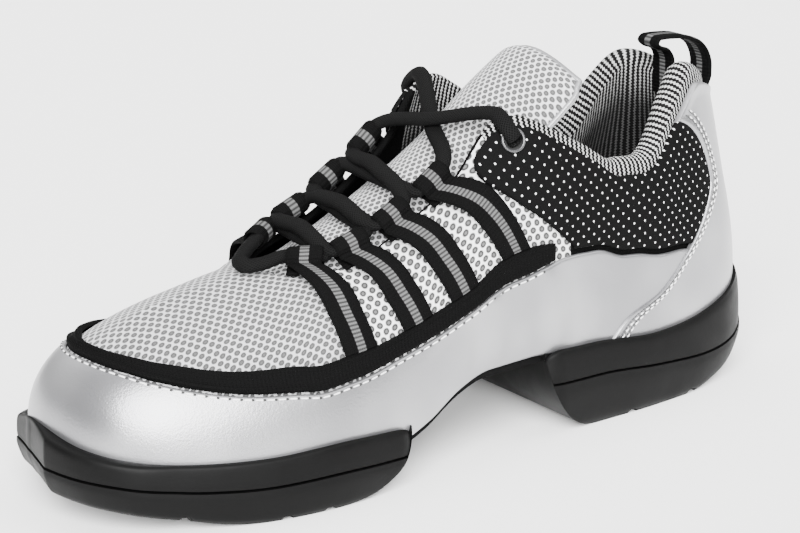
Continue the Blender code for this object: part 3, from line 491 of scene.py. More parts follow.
# The upper's skin: shares of a column's height at which its rim gets finer, its inner face folds towards the
# ridge and the collar's band begins; base share in front of which there is no collar; strip below the quarter
RIM_FROM = 0.9
FOLD_FROM = 0.86
COLLAR_BAND_FROM = 0.945
COLLAR_FRONT = 0.455
UNDER_QUARTER = 0.07
VAMP_SLOT, SIDE_SLOT, LINING_SLOT, EDGING_SLOT = range(4)
# The vamp's cloth: how much a rise adds to the length, and how the weave widens away from the middle
VAMP_RISE = 0.45
VAMP_WIDENING = 0.35
VAMP_WIDE_AT = 0.4

# The guard follows the ring of columns in front of this base share; rounds until a panel's grid has settled
GUARD_RING_FROM = 0.34
SETTLE_ROUNDS = 20
# The binding's two cords: inset from the edge, half width, height, and how deep the band lies between them
CORD_INSET, CORD_HALF, CORD_HEIGHT, CORD_SINK = 0.0012, 0.0006, 0.0005, 0.0003
# The counter's turned edge: width and height
FOLD_WIDTH, FOLD_HEIGHT = 0.0026, 0.0006
# The tongue: rows, how much thinner its sides are, and its piping's start and inset
TONGUE_ROWS = 110
TONGUE_SIDE_THINNER = 0.55
PIPING_FROM = 0.60
PIPING_INSET = 0.004
# Direction in which the lace arches between its loops
LACE_ARCH = (-0.2, 0.0, 0.9)

# Turns between which the wall is evened out, the fade at both ends, and how far the mean reaches
EVEN_FROM, EVEN_TO, EVEN_FADE = 0.26, 0.40, 0.03
EVEN_REACH = 0.026
# How many columns to either side the heel pad's lip is averaged over
LIP_SPREAD = 14

# Cloths: pitches and sizes of their patterns
MESH_PITCH = (0.0029, 0.0042)
MESH_HOLE = 0.00094
MESH_SWAY = 0.0007
DOT_PITCH = (0.0050, 0.0042)
DOT_RADIUS = 0.00035
STRIPE_PITCH = 0.0020
ZIGZAG_PITCH = 0.0012
ZIGZAG_SWING = 0.00042
STRIPE_SWAY = 0.0006
BRAID_PITCH = 0.0010
# Depth below the collar's rim over which the lining's pale ribs darken to painted shade
LINING_SHADE_DEPTH = 0.030
RIB_PITCH = 0.0013
STRAP_STRIPE = 0.0030

# Rows of stitches: pitch, length and radius of one stitch
GUARD_THREAD = (0.0036, 0.0034, 0.00030)
GUARD_STITCH = (0.0036, 0.0010, 0.00042)
COUNTER_STITCH = (0.0026, 0.0018, 0.00028)
# Dark capsules round and between the counter's stitches: painted shade in their holes and beside them
COUNTER_HOLE_SHADE = (0.0013, 0.0011, 0.00032)
# How far the guard's row lies below its edge, how deep the thread and the painted hole shade sink in,
# and how far each of the counter's rows lies behind its edge and stands off
GUARD_ROW_INSET = 0.0017
ROW_SINK = 0.0001
COUNTER_ROWS = ((0.0010, 0.0006), (0.0034, 0.0004))

# Floor and light. Each sun: name, azimuth and elevation in degrees, strength, spread in degrees
FLOOR_HALF = 4.0
FLOOR_COLOUR = (0.98, 0.98, 0.975)
ROOM_BELOW, ROOM_ABOVE, ROOM_FULL_AT = 0.20, 1.2, 0.9
SUNS = (
    ("key", -34.0, 33.0, 14.0, 50.0),
    ("right", 60.0, 46.0, 1.4, 50.0),
    ("back", 170.0, 58.0, 1.4, 60.0),
)

# Camera and photo frame
PHOTO_WIDTH, PHOTO_HEIGHT = 800, 533
CAMERA_AZIMUTH_DEG, CAMERA_ELEVATION_DEG, CAMERA_ROLL_DEG = -33.0, 17.0, -1.5
CAMERA_DISTANCE = 0.830
CAMERA_TARGET = (-0.085, 0.0, 0.050)
CAMERA_FOCAL_PX = 2500
CAMERA_CENTRE_PX = (402, 287)
SENSOR_WIDTH = 36.0


# Node trees


class Finish:
    """A Principled material whose nodes are added one call at a time."""

    def __init__(self, name, colour, roughness, **sockets):
        self.material = bpy.data.materials.new(name)
        self.material.use_nodes = True
        self.tree = self.material.node_tree
        self.shader = self.tree.nodes["Principled BSDF"]
        self.shader.inputs["Base Color"].default_value = (*colour, 1.0)
        self.shader.inputs["Roughness"].default_value = roughness
        for key, value in sockets.items():
            self.shader.inputs[key.replace("_", " ")].default_value = value

    def node(self, kind, result=0, inputs=(), **settings):
        """Adds a node, sets it up, feeds its inputs and gives one of its outputs."""
        made = self.tree.nodes.new(kind)
        for key, value in settings.items():
            setattr(made, key, value)
        for key, value in inputs:
            self.feed(made.inputs[key], value)
        return made.outputs[result]

    def feed(self, socket, value):
        """Links a node's output to a socket, or sets the socket to a value."""
        if isinstance(value, bpy.types.NodeSocket):
            self.tree.links.new(value, socket)
        elif isinstance(value, tuple) and len(value) == 3 and socket.type == "RGBA":
            socket.default_value = (*value, 1.0)
        else:
            socket.default_value = value

    def sum(self, operation, a, b=0.0):
        """One sum of two numbers."""
        return self.node("ShaderNodeMath", 0, ((0, a), (1, b)), operation=operation)

    def vector(self, operation, a, b=(0.0, 0.0, 0.0)):
        """One sum of two vectors. The length comes out of the second output."""
        result = 1 if operation == "LENGTH" else 0
        return self.node("ShaderNodeVectorMath", result, ((0, a), (1, b)), operation=operation)

    def ramp(self, value, start, end, low=0.0, high=1.0):
        """A soft step from low to high while the value goes from start to end."""
        inputs = (("Value", value), ("From Min", start), ("From Max", end), ("To Min", low), ("To Max", high))
        return self.node("ShaderNodeMapRange", 0, inputs, interpolation_type="SMOOTHSTEP")

    def blend(self, share, first, second):
        """A colour between two colours."""
        inputs = ((0, share), (6, first), (7, second))
        return self.node("ShaderNodeMix", 2, inputs, data_type="RGBA")

    def noise(self, place, scale, detail=2.0, rough=0.5):
        """Cloudy noise, between 0 and 1."""
        inputs = (("Vector", place), ("Scale", scale), ("Detail", detail), ("Roughness", rough))
        return self.node("ShaderNodeTexNoise", 0, inputs)

    def cloth(self, label="cloth"):
        """The place on the piece's cloth, in metres."""
        return self.node("ShaderNodeUVMap", uv_map=label)

    def place(self):
        """The place on the object, in metres."""
        return self.node("ShaderNodeTexCoord", 3)

    def split(self, vector, axis):
        """One part of a vector."""
        return self.node("ShaderNodeSeparateXYZ", axis, ((0, vector),))

    def lattice(self, place, pitch):
        """How far a place on the cloth is from the nearest point of a staggered lattice, in metres."""
        cell = (pitch[0], pitch[1], 1.0)
        count = self.vector("DIVIDE", place, cell)
        near = []
        for shift in ((0.0, 0.0, 0.0), (0.5, 0.5, 0.0)):
            share = self.vector("FRACTION", self.vector("ADD", count, shift))
            off = self.vector("SUBTRACT", share, (0.5, 0.5, 0.0))
            off = self.vector("MULTIPLY", off, (cell[0], cell[1], 0.0))
            near.append(self.vector("LENGTH", off))
        return self.sum("MINIMUM", *near)

    def colour(self, value):
        self.feed(self.shader.inputs["Base Color"], value)

    def roughness(self, value):
        self.feed(self.shader.inputs["Roughness"], value)

    def bump(self, height, depth):
        """Relief of this depth in metres, from a height between 0 and 1."""
        inputs = (("Height", height), ("Distance", depth), ("Strength", 1.0))
        self.feed(self.shader.inputs["Normal"], self.node("ShaderNodeBump", 0, inputs))


def grey(value):
    """A colour with three equal parts."""
    return (value, value, value)


def half_wave(finish, value, pitch):
    """A smooth ridge every pitch, between 0 and 1: half of one plus the sine."""
    turn = finish.sum("MULTIPLY", value, 2 * math.pi / pitch)
    return finish.sum("ADD", finish.sum("MULTIPLY", finish.sum("SINE", turn), 0.5), 0.5)


def air_mesh(name, label, yarn, ring, core, scale=1.0):
    """White knit with staggered round holes: pale yarn, and in each hole painted shade, a dark ring and a
    greyer core.
    """
    made = Finish(name, yarn, 0.78, Sheen_Weight=0.15)
    place = made.cloth(label)
    clouds = made.node("ShaderNodeTexNoise", 1, (("Vector", place), ("Scale", 260.0)))
    sway = made.vector("SUBTRACT", clouds, (0.5, 0.5, 0.5))
    sway = made.vector("MULTIPLY", sway, (MESH_SWAY, MESH_SWAY, 0.0))
    away = made.lattice(made.vector("ADD", place, sway), (MESH_PITCH[0] * scale, MESH_PITCH[1] * scale))
    hole_radius = MESH_HOLE * scale
    in_core = made.ramp(away, hole_radius * 0.30, hole_radius * 0.65, 1.0, 0.0)
    in_hole = made.ramp(away, hole_radius * 0.85, hole_radius * 1.20, 1.0, 0.0)
    fuzz = made.noise(place, 2200.0, 3.0, 0.7)
    lit = made.blend(fuzz, tuple(0.80 * c for c in yarn), yarn)
    # Painted shade inside each hole: a dark ring at its wall and a greyer core
    hole = made.blend(in_core, ring, core)
    made.colour(made.blend(in_hole, lit, hole))
    made.bump(made.sum("SUBTRACT", made.sum("MULTIPLY", fuzz, 0.35), in_hole), 0.00035)
    return made.material


def dotted_cloth(name):
    """Black fine weave with small white dots in a staggered lattice."""
    made = Finish(name, grey(0.02), 0.85, Specular_IOR_Level=0.05)
    place = made.cloth()
    away = made.lattice(place, DOT_PITCH)
    dot = made.ramp(away, DOT_RADIUS * 0.75, DOT_RADIUS * 1.2, 1.0, 0.0)
    weave = made.noise(place, 2600.0, 2.0, 0.6)
    black = made.blend(weave, grey(0.0002), grey(0.005))
    made.colour(made.blend(dot, black, grey(0.86)))
    made.bump(made.sum("ADD", made.sum("MULTIPLY", weave, 0.5), dot), 0.00018)
    return made.material


def striped_lining(name):
    """Knitted lining: white ribs on black that run over the collar's rim, each with a zigzag of stitches.
    Deeper below the rim its pale ribs darken, as painted shade inside the shoe.
    """
    made = Finish(name, grey(0.02), 0.88, Specular_IOR_Level=0.12)
    place = made.cloth()
    along, across = made.split(place, 1), made.split(place, 0)
    stitch = made.sum("MULTIPLY", half_wave(made, along, ZIGZAG_PITCH), ZIGZAG_SWING)
    sway = made.sum("MULTIPLY", made.noise(place, 420.0), STRIPE_SWAY)
    rib = half_wave(made, made.sum("ADD", made.sum("ADD", across, stitch), sway), STRIPE_PITCH)
    white = made.ramp(rib, 0.62, 0.82)
    pile = made.noise(place, 2400.0, 2.0, 0.6)
    pale = made.blend(pile, grey(0.26), (0.66, 0.66, 0.65))
    # Painted shade: the pale ribs darken with depth below the rim, inside the shoe
    deep = made.ramp(made.split(made.cloth("depth"), 0), 0.004, LINING_SHADE_DEPTH)
    pale = made.blend(deep, pale, grey(0.050))
    made.colour(made.blend(white, grey(0.003), pale))
    made.bump(made.sum("ADD", rib, made.sum("MULTIPLY", pile, 0.3)), 0.00040)
    return made.material


def silver_leather(name):
    """Satin silver coated leather: fine grain, slight clouding of colour and gloss."""
    made = Finish(name, (0.50, 0.50, 0.51), 0.36, Metallic=0.82, Coat_Weight=0.15, Coat_Roughness=0.25)
    place = made.place()
    cloud = made.noise(place, 20.0, 2.0, 0.45)
    made.colour(made.blend(made.ramp(cloud, 0.3, 0.7), (0.25, 0.25, 0.26), (0.44, 0.44, 0.45)))
    grain = made.node("ShaderNodeTexVoronoi", 0, (("Vector", place), ("Scale", 1500.0)))
    fine = made.noise(place, 900.0, 3.0, 0.6)
    made.roughness(made.ramp(cloud, 0.3, 0.7, 0.32, 0.42))
    made.bump(made.sum("ADD", made.sum("MULTIPLY", grain, 0.5), fine), 0.00005)
    return made.material


def black_rubber(name):
    """Satin moulded rubber with a faint skin and a little wear."""
    made = Finish(name, grey(0.004), 0.36, Specular_IOR_Level=0.09)
    place = made.place()
    cloud = made.noise(place, 60.0, 3.0, 0.6)
    made.colour(made.blend(cloud, grey(0.0007), grey(0.0028)))
    made.roughness(made.ramp(cloud, 0.3, 0.7, 0.46, 0.58))
    made.bump(made.noise(place, 1400.0, 2.0, 0.5), 0.00003)
    return made.material


def webbing(name, striped):
    """Black ribbed webbing. A striped one has a grey band of cross ribs along its middle."""
    made = Finish(name, grey(0.005), 0.82, Specular_IOR_Level=0.04)
    place = made.cloth()
    across, along = made.split(place, 0), made.split(place, 1)
    ribs = half_wave(made, along, RIB_PITCH)
    warp = half_wave(made, across, RIB_PITCH * 0.55)
    pile = made.noise(place, 2600.0, 2.0, 0.6)
    black = made.blend(pile, grey(0.0002), grey(0.004))
    if striped:
        # The grey stripe darkens in the grooves between its ribs: a grey band with painted shade
        stripe = made.blend(ribs, grey(0.022), grey(0.105))
        half = STRAP_STRIPE / 2
        band = made.ramp(made.sum("ABSOLUTE", across), half * 0.9, half * 1.08, 1.0, 0.0)
        made.colour(made.blend(band, black, stripe))
    else:
        made.colour(black)
    relief = made.sum("ADD", made.sum("MULTIPLY", ribs, 0.6), made.sum("MULTIPLY", warp, 0.4))
    made.bump(made.sum("ADD", relief, made.sum("MULTIPLY", pile, 0.4)), 0.00022)
    return made.material


def braided_lace(name):
    """Matt black lace with a fine braid that crosses at a slant."""
    made = Finish(name, grey(0.004), 0.72, Specular_IOR_Level=0.05)
    place = made.cloth()
    across, along = made.split(place, 0), made.split(place, 1)
    strands = [half_wave(made, made.sum(way, along, across), BRAID_PITCH) for way in ("ADD", "SUBTRACT")]
    braid = made.sum("MAXIMUM", *strands)
    # The braid darkens between its strands: painted shade
    made.colour(made.blend(braid, grey(0.0003), grey(0.005)))
    made.bump(braid, 0.00018)
    return made.material


def plain(name, colour, roughness, grain=0.00004, **sockets):
    """A plain finish with a fine grain, for the board, the inside and small fittings."""
    made = Finish(name, colour, roughness, **sockets)
    place = made.place()
    cloud = made.noise(place, 300.0, 3.0, 0.6)
    dark, pale = tuple(0.75 * c for c in colour), tuple(min(1.0, 1.2 * c) for c in colour)
    made.colour(made.blend(cloud, dark, pale))
    made.bump(made.noise(place, 1200.0, 2.0, 0.5), grain)
    return made.material


# Surfaces from whole arrays


def lengths(points, axis):
    """Distance run along one direction of a grid of points, from its start."""
    steps = np.linalg.norm(np.diff(points, axis=axis), axis=-1)
    start = np.zeros_like(np.take(steps, [0], axis=axis))
    return np.cumsum(np.concatenate([start, steps], axis=axis), axis=axis)


def placed(name, data):
    """A new object in the scene."""
    made = bpy.data.objects.new(name, data)
    bpy.context.scene.collection.objects.link(made)
    return made


def finished(name, mesh, finishes, merge_within):
    """The mesh as a piece of the shoe, with merged points, faces that look outwards and its finishes."""
    work = bmesh.new()
    work.from_mesh(mesh)
    bmesh.ops.remove_doubles(work, verts=work.verts, dist=merge_within)
    bmesh.ops.delete(work, geom=[v for v in work.verts if not v.link_faces], context="VERTS")
    bmesh.ops.recalc_face_normals(work, faces=work.faces)
    work.to_mesh(mesh)
    work.free()
    mesh.shade_smooth()
    for finish in finishes:
        mesh.materials.append(finish)
    piece = placed(name, mesh)
    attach(piece, "root")
    return piece


def surface(name, grid, maps, finishes, stands_for, slots=None, keep=None, sharp_deg=38.0):
    """A closed mesh over a grid of points, columns by rows. Ends and sides that meet are merged.

    maps holds, for each cloth map's name, the place of every grid point on the cloth.
    """
    columns, rows = grid.shape[:2]
    index = np.arange(columns * rows).reshape(columns, rows)
    quads = np.stack([index[:-1, :-1], index[1:, :-1], index[1:, 1:], index[:-1, 1:]], axis=-1)
    chosen = np.ones(quads.shape[:2], bool) if keep is None else keep
    corners = quads[chosen].reshape(-1)
    mesh = bpy.data.meshes.new(name)
    mesh.vertices.add(columns * rows)
    mesh.vertices.foreach_set("co", grid.reshape(-1))
    mesh.loops.add(len(corners))
    mesh.loops.foreach_set("vertex_index", corners)
    mesh.polygons.add(len(corners) // 4)
    mesh.polygons.foreach_set("loop_start", np.arange(0, len(corners), 4))
    if slots is not None:
        mesh.polygons.foreach_set("material_index", slots[chosen].astype(np.int32).reshape(-1))
    mesh.update(calc_edges=True)
    for label, places in maps.items():
        layer = mesh.uv_layers.new(name=label)
        layer.data.foreach_set("uv", places.reshape(-1, 2)[corners].reshape(-1))
    piece = finished(name, mesh, finishes, MERGE_WITHIN)
    mesh.set_sharp_from_angle(angle=math.radians(sharp_deg))
    if stands_for:
        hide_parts(*stands_for)
    return piece


def slab_grid(outer, inner):
    """One closed grid from two faces whose borders meet: outer rows, then inner rows backwards."""
    return np.concatenate([outer, inner[:, ::-1], outer[:, :1]], axis=1)


def slab_map(across, along):
    """A cloth map for such a grid, the same on both faces."""
    places = np.stack([across, along], axis=-1)
    return np.concatenate([places, places[:, ::-1], places[:, :1]], axis=1)


def flat_map(grid, axis):
    """A cloth map seen from one side: along the shoe, and along the given axis."""
    return {"cloth": np.stack([grid[..., 0], grid[..., axis]], axis=-1)}


def edge_shares(count, edge):
    """Shares from 0 to 1 for count even steps, with extra ones close to both ends."""
    near = edge * np.array([0.0, 0.06, 0.25, 0.55])
    return np.concatenate([near, np.linspace(edge, 1 - edge, count), 1 - near[::-1]])


def rounded(distance, radius=EDGE_ROUND):
    """Share of the full thickness at a distance from a border: a quarter circle, then level."""
    inside = 1 - np.clip(distance / radius, 0, 1)
    return np.sqrt(np.clip(1 - inside * inside, 0, 1))


def even_wall(turns, heights, out):
    """The wall, evened out below the throat's front: the mean of seven nearby turns, weighted as a bell."""
    away = np.abs(turns)
    near = np.clip((away - EVEN_FROM) / EVEN_FADE, 0, 1) * np.clip((EVEN_TO - away) / EVEN_FADE, 0, 1)
    weights = np.array([1, 6, 15, 20, 15, 6, 1]) / 64
    steps = np.linspace(-EVEN_REACH, EVEN_REACH, len(weights))
    return sum(weight * wall(turns + step * near, heights, out) for weight, step in zip(weights, steps))


def covering(name, turns, heights, thickness, finish, stands_for, relief, maps=None):
    """A piece that lies on the wall: its outer face stands off by the seat and a thickness, round at borders.

    relief gives an extra height in metres from (turns, heights, distance to the nearest border).
    """
    seat = even_wall(turns, heights, np.full(turns.shape, SEAT))
    up, along = lengths(seat, 1), lengths(seat, 0)
    border = np.minimum(np.minimum(up, up[:, -1:] - up), np.minimum(along, along[-1:] - along))
    raised = thickness + relief(turns, heights, border)
    outer = even_wall(turns, heights, SEAT + raised * rounded(border))
    cloth = slab_map(seat[..., 0], up) if maps is None else slab_map(*maps(seat, up, along))
    return surface(name, slab_grid(outer, seat), {"cloth": cloth}, [finish], stands_for)


# The upper


def build_upper_skin(vamp_mesh, side_mesh, lining, edging):
    """The hollow wall: outer face, rounded rim, inner face. The forefoot's columns meet at the ridge.

    Each column is the wall's curve at its turn. The inner face is that curve moved in by the wall's
    thickness, and the rim is a half circle between them.
    """
    ring_turns = fine_ring()
    low_levels = np.linspace(0, RIM_FROM, UPPER_LEVELS - RIM_LEVELS, endpoint=False)
    levels = np.concatenate([low_levels, np.linspace(RIM_FROM, 1.0, RIM_LEVELS + 1)])
    ring, height = np.meshgrid(ring_turns, levels, indexing="ij")
    thick = WALL + padding(ring, height) * COLLAR_PAD
    outer = even_wall(ring, height, np.zeros(ring.shape))
    inner = even_wall(ring, height, -thick)
    inner[:, 0, 2] = outer[:, 0, 2]
    ridge = base_of(ring_turns) >= RIDGE_FROM - 1e-9
    partner = (-np.arange(len(ring_turns))) % len(ring_turns)
    for face in (outer, inner):
        face[ridge, -1] = (face[ridge, -1] + face[partner, -1][ridge]) / 2
    fold = int(np.searchsorted(levels, FOLD_FROM))
    share = ((levels[fold:] - levels[fold]) / (1 - levels[fold]))[None, :, None]
    inner[ridge, fold:] = inner[ridge, fold : fold + 1] * (1 - share) + inner[ridge, -1:] * share
    across = (outer[:, -1] - inner[:, -1]) / 2
    round_way = np.roll(outer[:, -1], -1, axis=0) - np.roll(outer[:, -1], 1, axis=0)
    rise = np.cross(across, round_way)
    rise[ridge] = np.array([1.0, 0.0, 0.0])
    rise = unit(rise)
    rise[~ridge] *= np.sign(rise[~ridge, 2:3])
    half = np.linalg.norm(across, axis=-1, keepdims=True)
    centre = (outer[:, -1] + inner[:, -1]) / 2
    angles = np.linspace(0, math.pi, RIM_STEPS + 2)[1:-1]
    caps = [(centre + across * math.cos(a) + rise * half * math.sin(a))[:, None] for a in angles]
    grid = np.concatenate([outer, *caps, inner[:, ::-1], outer[:, :1]], axis=1)
    grid = np.concatenate([grid, grid[:1]], axis=0)
    rim_start, rim_end = len(levels) - 1, len(levels) + len(caps)
    along = lengths(np.concatenate([top(ring_turns), top(ring_turns[:1])]), 0)
    up = lengths(grid, 1)
    base = np.concatenate([base_of(ring_turns), base_of(ring_turns[:1])])
    stripe_map = np.stack(np.broadcast_arrays(along[:, None], up), axis=-1)
    side_map = np.stack([grid[..., 0], up], axis=-1)
    slope_length = np.hypot(grid[..., 0], VAMP_RISE * grid[..., 2]) * np.sign(grid[..., 0])
    spread = grid[..., 1] * (1 + VAMP_WIDENING * (grid[..., 1] / (VAMP_WIDE_AT * BALL_WIDTH)) ** 2)
    vamp_map = np.stack([slope_length, spread], axis=-1)
    row = np.arange(grid.shape[1] - 1)[None, :]
    face_base = base[:-1, None]
    row_level = levels[np.minimum(row, len(levels) - 1)]
    first_strap = STRAPS[0][1] + (STRAPS[0][0] - STRAPS[0][1]) * np.clip((row_level - 0.5) / 0.5, 0, 1)
    slots = np.where(face_base > first_strap, VAMP_SLOT, SIDE_SLOT)
    on_outer = row < rim_start
    at_collar = face_base < COLLAR_FRONT
    slots = np.where(on_outer & (row_level > COLLAR_BAND_FROM) & at_collar, LINING_SLOT, slots)
    # Inside, in front of the collar, black edging cloth, which also stands in as painted shade under the far
    # loops
    slots = np.where(~on_outer, np.where(at_collar, LINING_SLOT, EDGING_SLOT), slots)
    under_quarter = guard_heights(base[:-1], 1)[:, None] + UNDER_QUARTER
    below_quarter = on_outer & (face_base < QUARTER_EDGE[0][1]) & (row_level < under_quarter)
    slots = np.where(below_quarter, EDGING_SLOT, slots)
    on_ridge = ridge & np.roll(ridge, -1)
    keep = ~(on_ridge[:, None] & (row >= rim_start) & (row < rim_end))
    # Depth below the rim, read by the lining's painted shade
    past_rim = np.clip(up - up[:, rim_start : rim_start + 1], 0, None)
    shade_depth_map = np.stack([past_rim, past_rim], axis=-1)
    maps = {"cloth": stripe_map, "side": side_map, "vamp": vamp_map, "depth": shade_depth_map}
    finishes = [vamp_mesh, side_mesh, lining, edging]
    surface("upper_skin", grid, maps, finishes, ["upper"], slots=slots, keep=keep)


def along_wall(turns):
    """Length run round the wall at three quarters of its height, from the heel, at each turn."""
    ring = np.linspace(0, 1, 400)
    run = lengths(wall(-ring, np.full(ring.shape, 0.75)), 0)
    return np.interp(np.abs(turns), ring, run)


def arch_creases(turns, heights, border):
    """Soft troughs and ridges of the leather: each is a bell across, and fades out below and above."""
    base, lateral = base_of(turns), turns < 0
    lift = np.zeros_like(heights)
    for place, width, depth, low, high in CREASES:
        band = np.exp(-(((base - place - CREASE_LEAN * (heights - 0.2)) / width) ** 2))
        span = np.clip((heights - low) / CREASE_FADE, 0, 1) * np.clip((high - heights) / CREASE_FADE, 0, 1)
        lift = lift + np.where(lateral, 1.0, INNER_CREASE_SHARE) * depth * band * span
    return lift * rounded(border, CREASE_BORDER)


def build_guard_skin(finish):
    """The silver guard as one covering, from the outer counter's seam round the toe to the inner one."""
    ring = fine_ring()
    front = ring[base_of(ring) > GUARD_RING_FROM]
    rear_share = np.linspace(0, 1, 34)[:-1]
    levels = edge_shares(34, 0.05)
    share, level = np.meshgrid(rear_share, levels, indexing="ij")
    height = 0.3 * level
    for _ in range(SETTLE_ROUNDS):
        seam = turn_of(edge_base(COUNTER_EDGE, height), LATERAL) - GAP / BALL_WIDTH
        turn = seam + (front[0] - seam) * share
        height = (height + level * (guard_heights(base_of(turn), 1) - 2 * seat_gap(turn))) / 2
    middle = np.repeat(front[:, None], len(levels), axis=1)
    middle_height = levels * (guard_heights(base_of(front), 1) - 2 * seat_gap(front))[:, None]
    turns = np.concatenate([turn, middle, -turn[::-1]])
    heights = np.concatenate([height, middle_height, height[::-1]])
    covering("mudguard_skin", turns, heights, GUARD_THICKNESS, finish, ["mudguard"], arch_creases)


def build_binding_skin(finish):
    """The black ribbon along the guard: a flat band with a raised cord near each edge."""
    ring = fine_ring()
    turns = ring[base_of(ring) > BINDING_FROM]
    share = edge_shares(15, 0.08)
    low, high = guard_heights(base_of(turns), 1), guard_heights(base_of(turns), 2)
    heights = low[:, None] + (high - low)[:, None] * share
    grid = np.repeat(turns[:, None], len(share), axis=1)

    def cords(turns, heights, border):
        """Two rounded cords, a little in from the ribbon's edges."""
        return CORD_HEIGHT * np.exp(-(((border - CORD_INSET) / CORD_HALF) ** 2)) - CORD_SINK

    def ribbon(seat, up, along):
        """Across the ribbon from its middle, and along it."""
        return up - up[:, -1:] / 2, along

    covering("binding_skin", grid, heights, BINDING_THICKNESS, finish, ["binding"], cords, ribbon)


def build_counter_skin(finish):
    """The silver heel counter with a folded edge along its seam."""
    ring = fine_ring()
    heel = ring[base_of(ring) < 0.07]
    heel = np.sort(np.where(heel > 0, heel - 2, heel))[::-1]
    rows = edge_shares(50, 0.02) * OVERLAY_TOP
    share, height = np.meshgrid(edge_shares(34, 0.04)[:-1], rows, indexing="ij")
    seam = turn_of(edge_base(COUNTER_EDGE, height), LATERAL) + 2 * GAP / BALL_WIDTH
    outer = seam + (heel[0] - seam) * share
    middle = np.repeat(heel[:, None], len(rows), axis=1)
    turns = np.concatenate([outer, middle, -2 - outer[::-1]])
    heights = np.repeat(rows[None], len(turns), axis=0)

    def fold(turns, heights, border):
        """The turned edge stands a little higher."""
        return FOLD_HEIGHT * np.exp(-((border / FOLD_WIDTH) ** 4))

    covering("counter_skin", turns, heights, COUNTER_THICKNESS + GAP / 2, finish, ["heel_counter"], fold)


def build_quarter_skin(side, word, finish):
    """The padded dotted panel: its middle swells over its borders."""
    share, level = np.meshgrid(edge_shares(96, 0.012), edge_shares(44, 0.025), indexing="ij")
    turns, heights = quarter_grid(share, level, side)
    corner = np.clip((heights - TAB_CORNER_FROM) / (OVERLAY_TOP - TAB_CORNER_FROM), 0, 1)
    back = TAB_CORNER * (1 - np.sqrt(1 - corner * corner)) * (1 - share) ** 6
    turns = turn_of(base_of(turns) - back, side)

    def swell(turns, heights, border):
        """Padding that rises from the border."""
        return QUARTER_SWELL * rounded(border, QUARTER_SWELL_WIDTH)

    def upright(seat, up, along):
        """Along the wall from the heel, and up."""
        return along_wall(turns), seat[..., 2]

    name = f"quarter_{word}"
    piece = covering(f"{name}_skin", turns, heights, COUNTER_THICKNESS, finish, [name], swell, upright)


# Tongue, straps, laces and fittings


def smooth_each(at, knots, columns):
    """A smooth curve through each column of values."""
    return np.stack([smooth(at, knots, columns[:, k]) for k in range(columns.shape[1])], axis=-1)


def resample(values, count):
    """Rows of a table on a finer, even count of rows, along a smooth curve through them."""
    rows = np.asarray(values, float)
    knots = np.arange(len(rows), dtype=float)
    at = np.linspace(0, len(rows) - 1, count)
    return smooth_each(at, knots, rows)


def spline(points, count):
    """A smooth curve through points, at an even count of places by the length of its chords."""
    points = np.asarray(points, float)
    knots = lengths(points, 0)
    at = np.linspace(0, knots[-1], count)
    return smooth_each(at, knots, points)


def tongue_faces(across, count):
    """Outer and inner faces of the tongue: a curve lengthways, a parabola across, thick at its top."""
    rows = resample(TONGUE, count)
    x = (TREAD_CENTRE - rows[:, 0]) * LAST_LENGTH
    z = rows[:, 1] * COLLAR_HEIGHT
    along = np.stack([np.gradient(x), np.zeros(len(x)), np.gradient(z)], axis=-1)
    up = unit(np.stack([-along[:, 2], np.zeros(len(x)), along[:, 0]], axis=-1))
    outer = np.zeros((len(rows), len(across), 3))
    outer[..., 0] = x[:, None]
    outer[..., 1] = across[None, :] * (rows[:, 2] * BALL_WIDTH)[:, None]
    outer[..., 2] = z[:, None]
    droop = (rows[:, 3, None] * across - TONGUE_TILT) * across * BALL_WIDTH
    outer = outer - up[:, None] * droop[..., None]
    thick = (rows[:, 4] * TONGUE_TOP_THICKNESS)[:, None] * (1 - TONGUE_SIDE_THINNER * across[None, :] ** 4)
    return outer, up, thick


def build_tongue_skin(finish, edging):
    """The padded tongue with rounded borders, and a piped edge round its top."""
    across = edge_shares(54, 0.03) * 2 - 1
    outer, up, thick = tongue_faces(across, TONGUE_ROWS)
    inner = outer - up[:, None] * thick[..., None]
    run = lengths(outer, 0)
    side = lengths(outer, 1)
    border = np.minimum(np.minimum(side, side[:, -1:] - side), np.minimum(run, run[-1:] - run))
    share = rounded(border, TONGUE_ROUND)
    middle = (outer + inner) / 2
    outer = middle + (outer - middle) * share[..., None]
    inner = middle + (inner - middle) * share[..., None]
    side = lengths(middle, 1)
    maps = {"cloth": slab_map(side - side[:, -1:] / 2, run)}
    piece = surface("tongue_skin", slab_grid(outer, inner), maps, [finish], ["tongue"], sharp_deg=60)
    low = int(len(middle) * PIPING_FROM)
    rim = np.concatenate([middle[low:, 0], middle[-1, 1:-1], middle[low:, -1][::-1]])
    pull_in = (middle[-10, len(across) // 2] - rim) * PIPING_INSET
    path = spline(rim[::4] + pull_in[::4], 220)
    cord_mesh("tongue_piping", path, (0.0, 0.0, 1.0), TONGUE_PIPING, TONGUE_PIPING, edging, [])


def cord_mesh(name, path, up, width, thickness, finish, stands_for, sides=14):
    """An oval cord along a path, closed by a rounded point at each end. Its thickness faces up."""
    ahead = unit(np.gradient(path, axis=0))
    side = unit(np.cross(ahead, np.broadcast_to(np.asarray(up, float), path.shape)))
    over = np.cross(side, ahead)
    run = lengths(path, 0)
    tip = rounded(np.minimum(run, run[-1] - run), thickness / 2)
    angle = np.linspace(0, 2 * math.pi, sides + 1)
    angle[-1] = 0.0
    cosine, sine = np.cos(angle), np.sin(angle)
    flat = np.sign(sine) * np.abs(sine) ** 0.8
    grid = path[:, None] + (side * (tip * width / 2)[:, None])[:, None] * cosine[None, :, None]
    grid = grid + (over * (tip * thickness / 2)[:, None])[:, None] * flat[None, :, None]
    around = np.linspace(0, 1, sides + 1) * math.pi * (width + thickness) / 2
    cloth = np.stack(np.broadcast_arrays(around[None, :], run[:, None]), axis=-1)
    return surface(name, grid, {"cloth": cloth}, [finish], stands_for, sharp_deg=80)


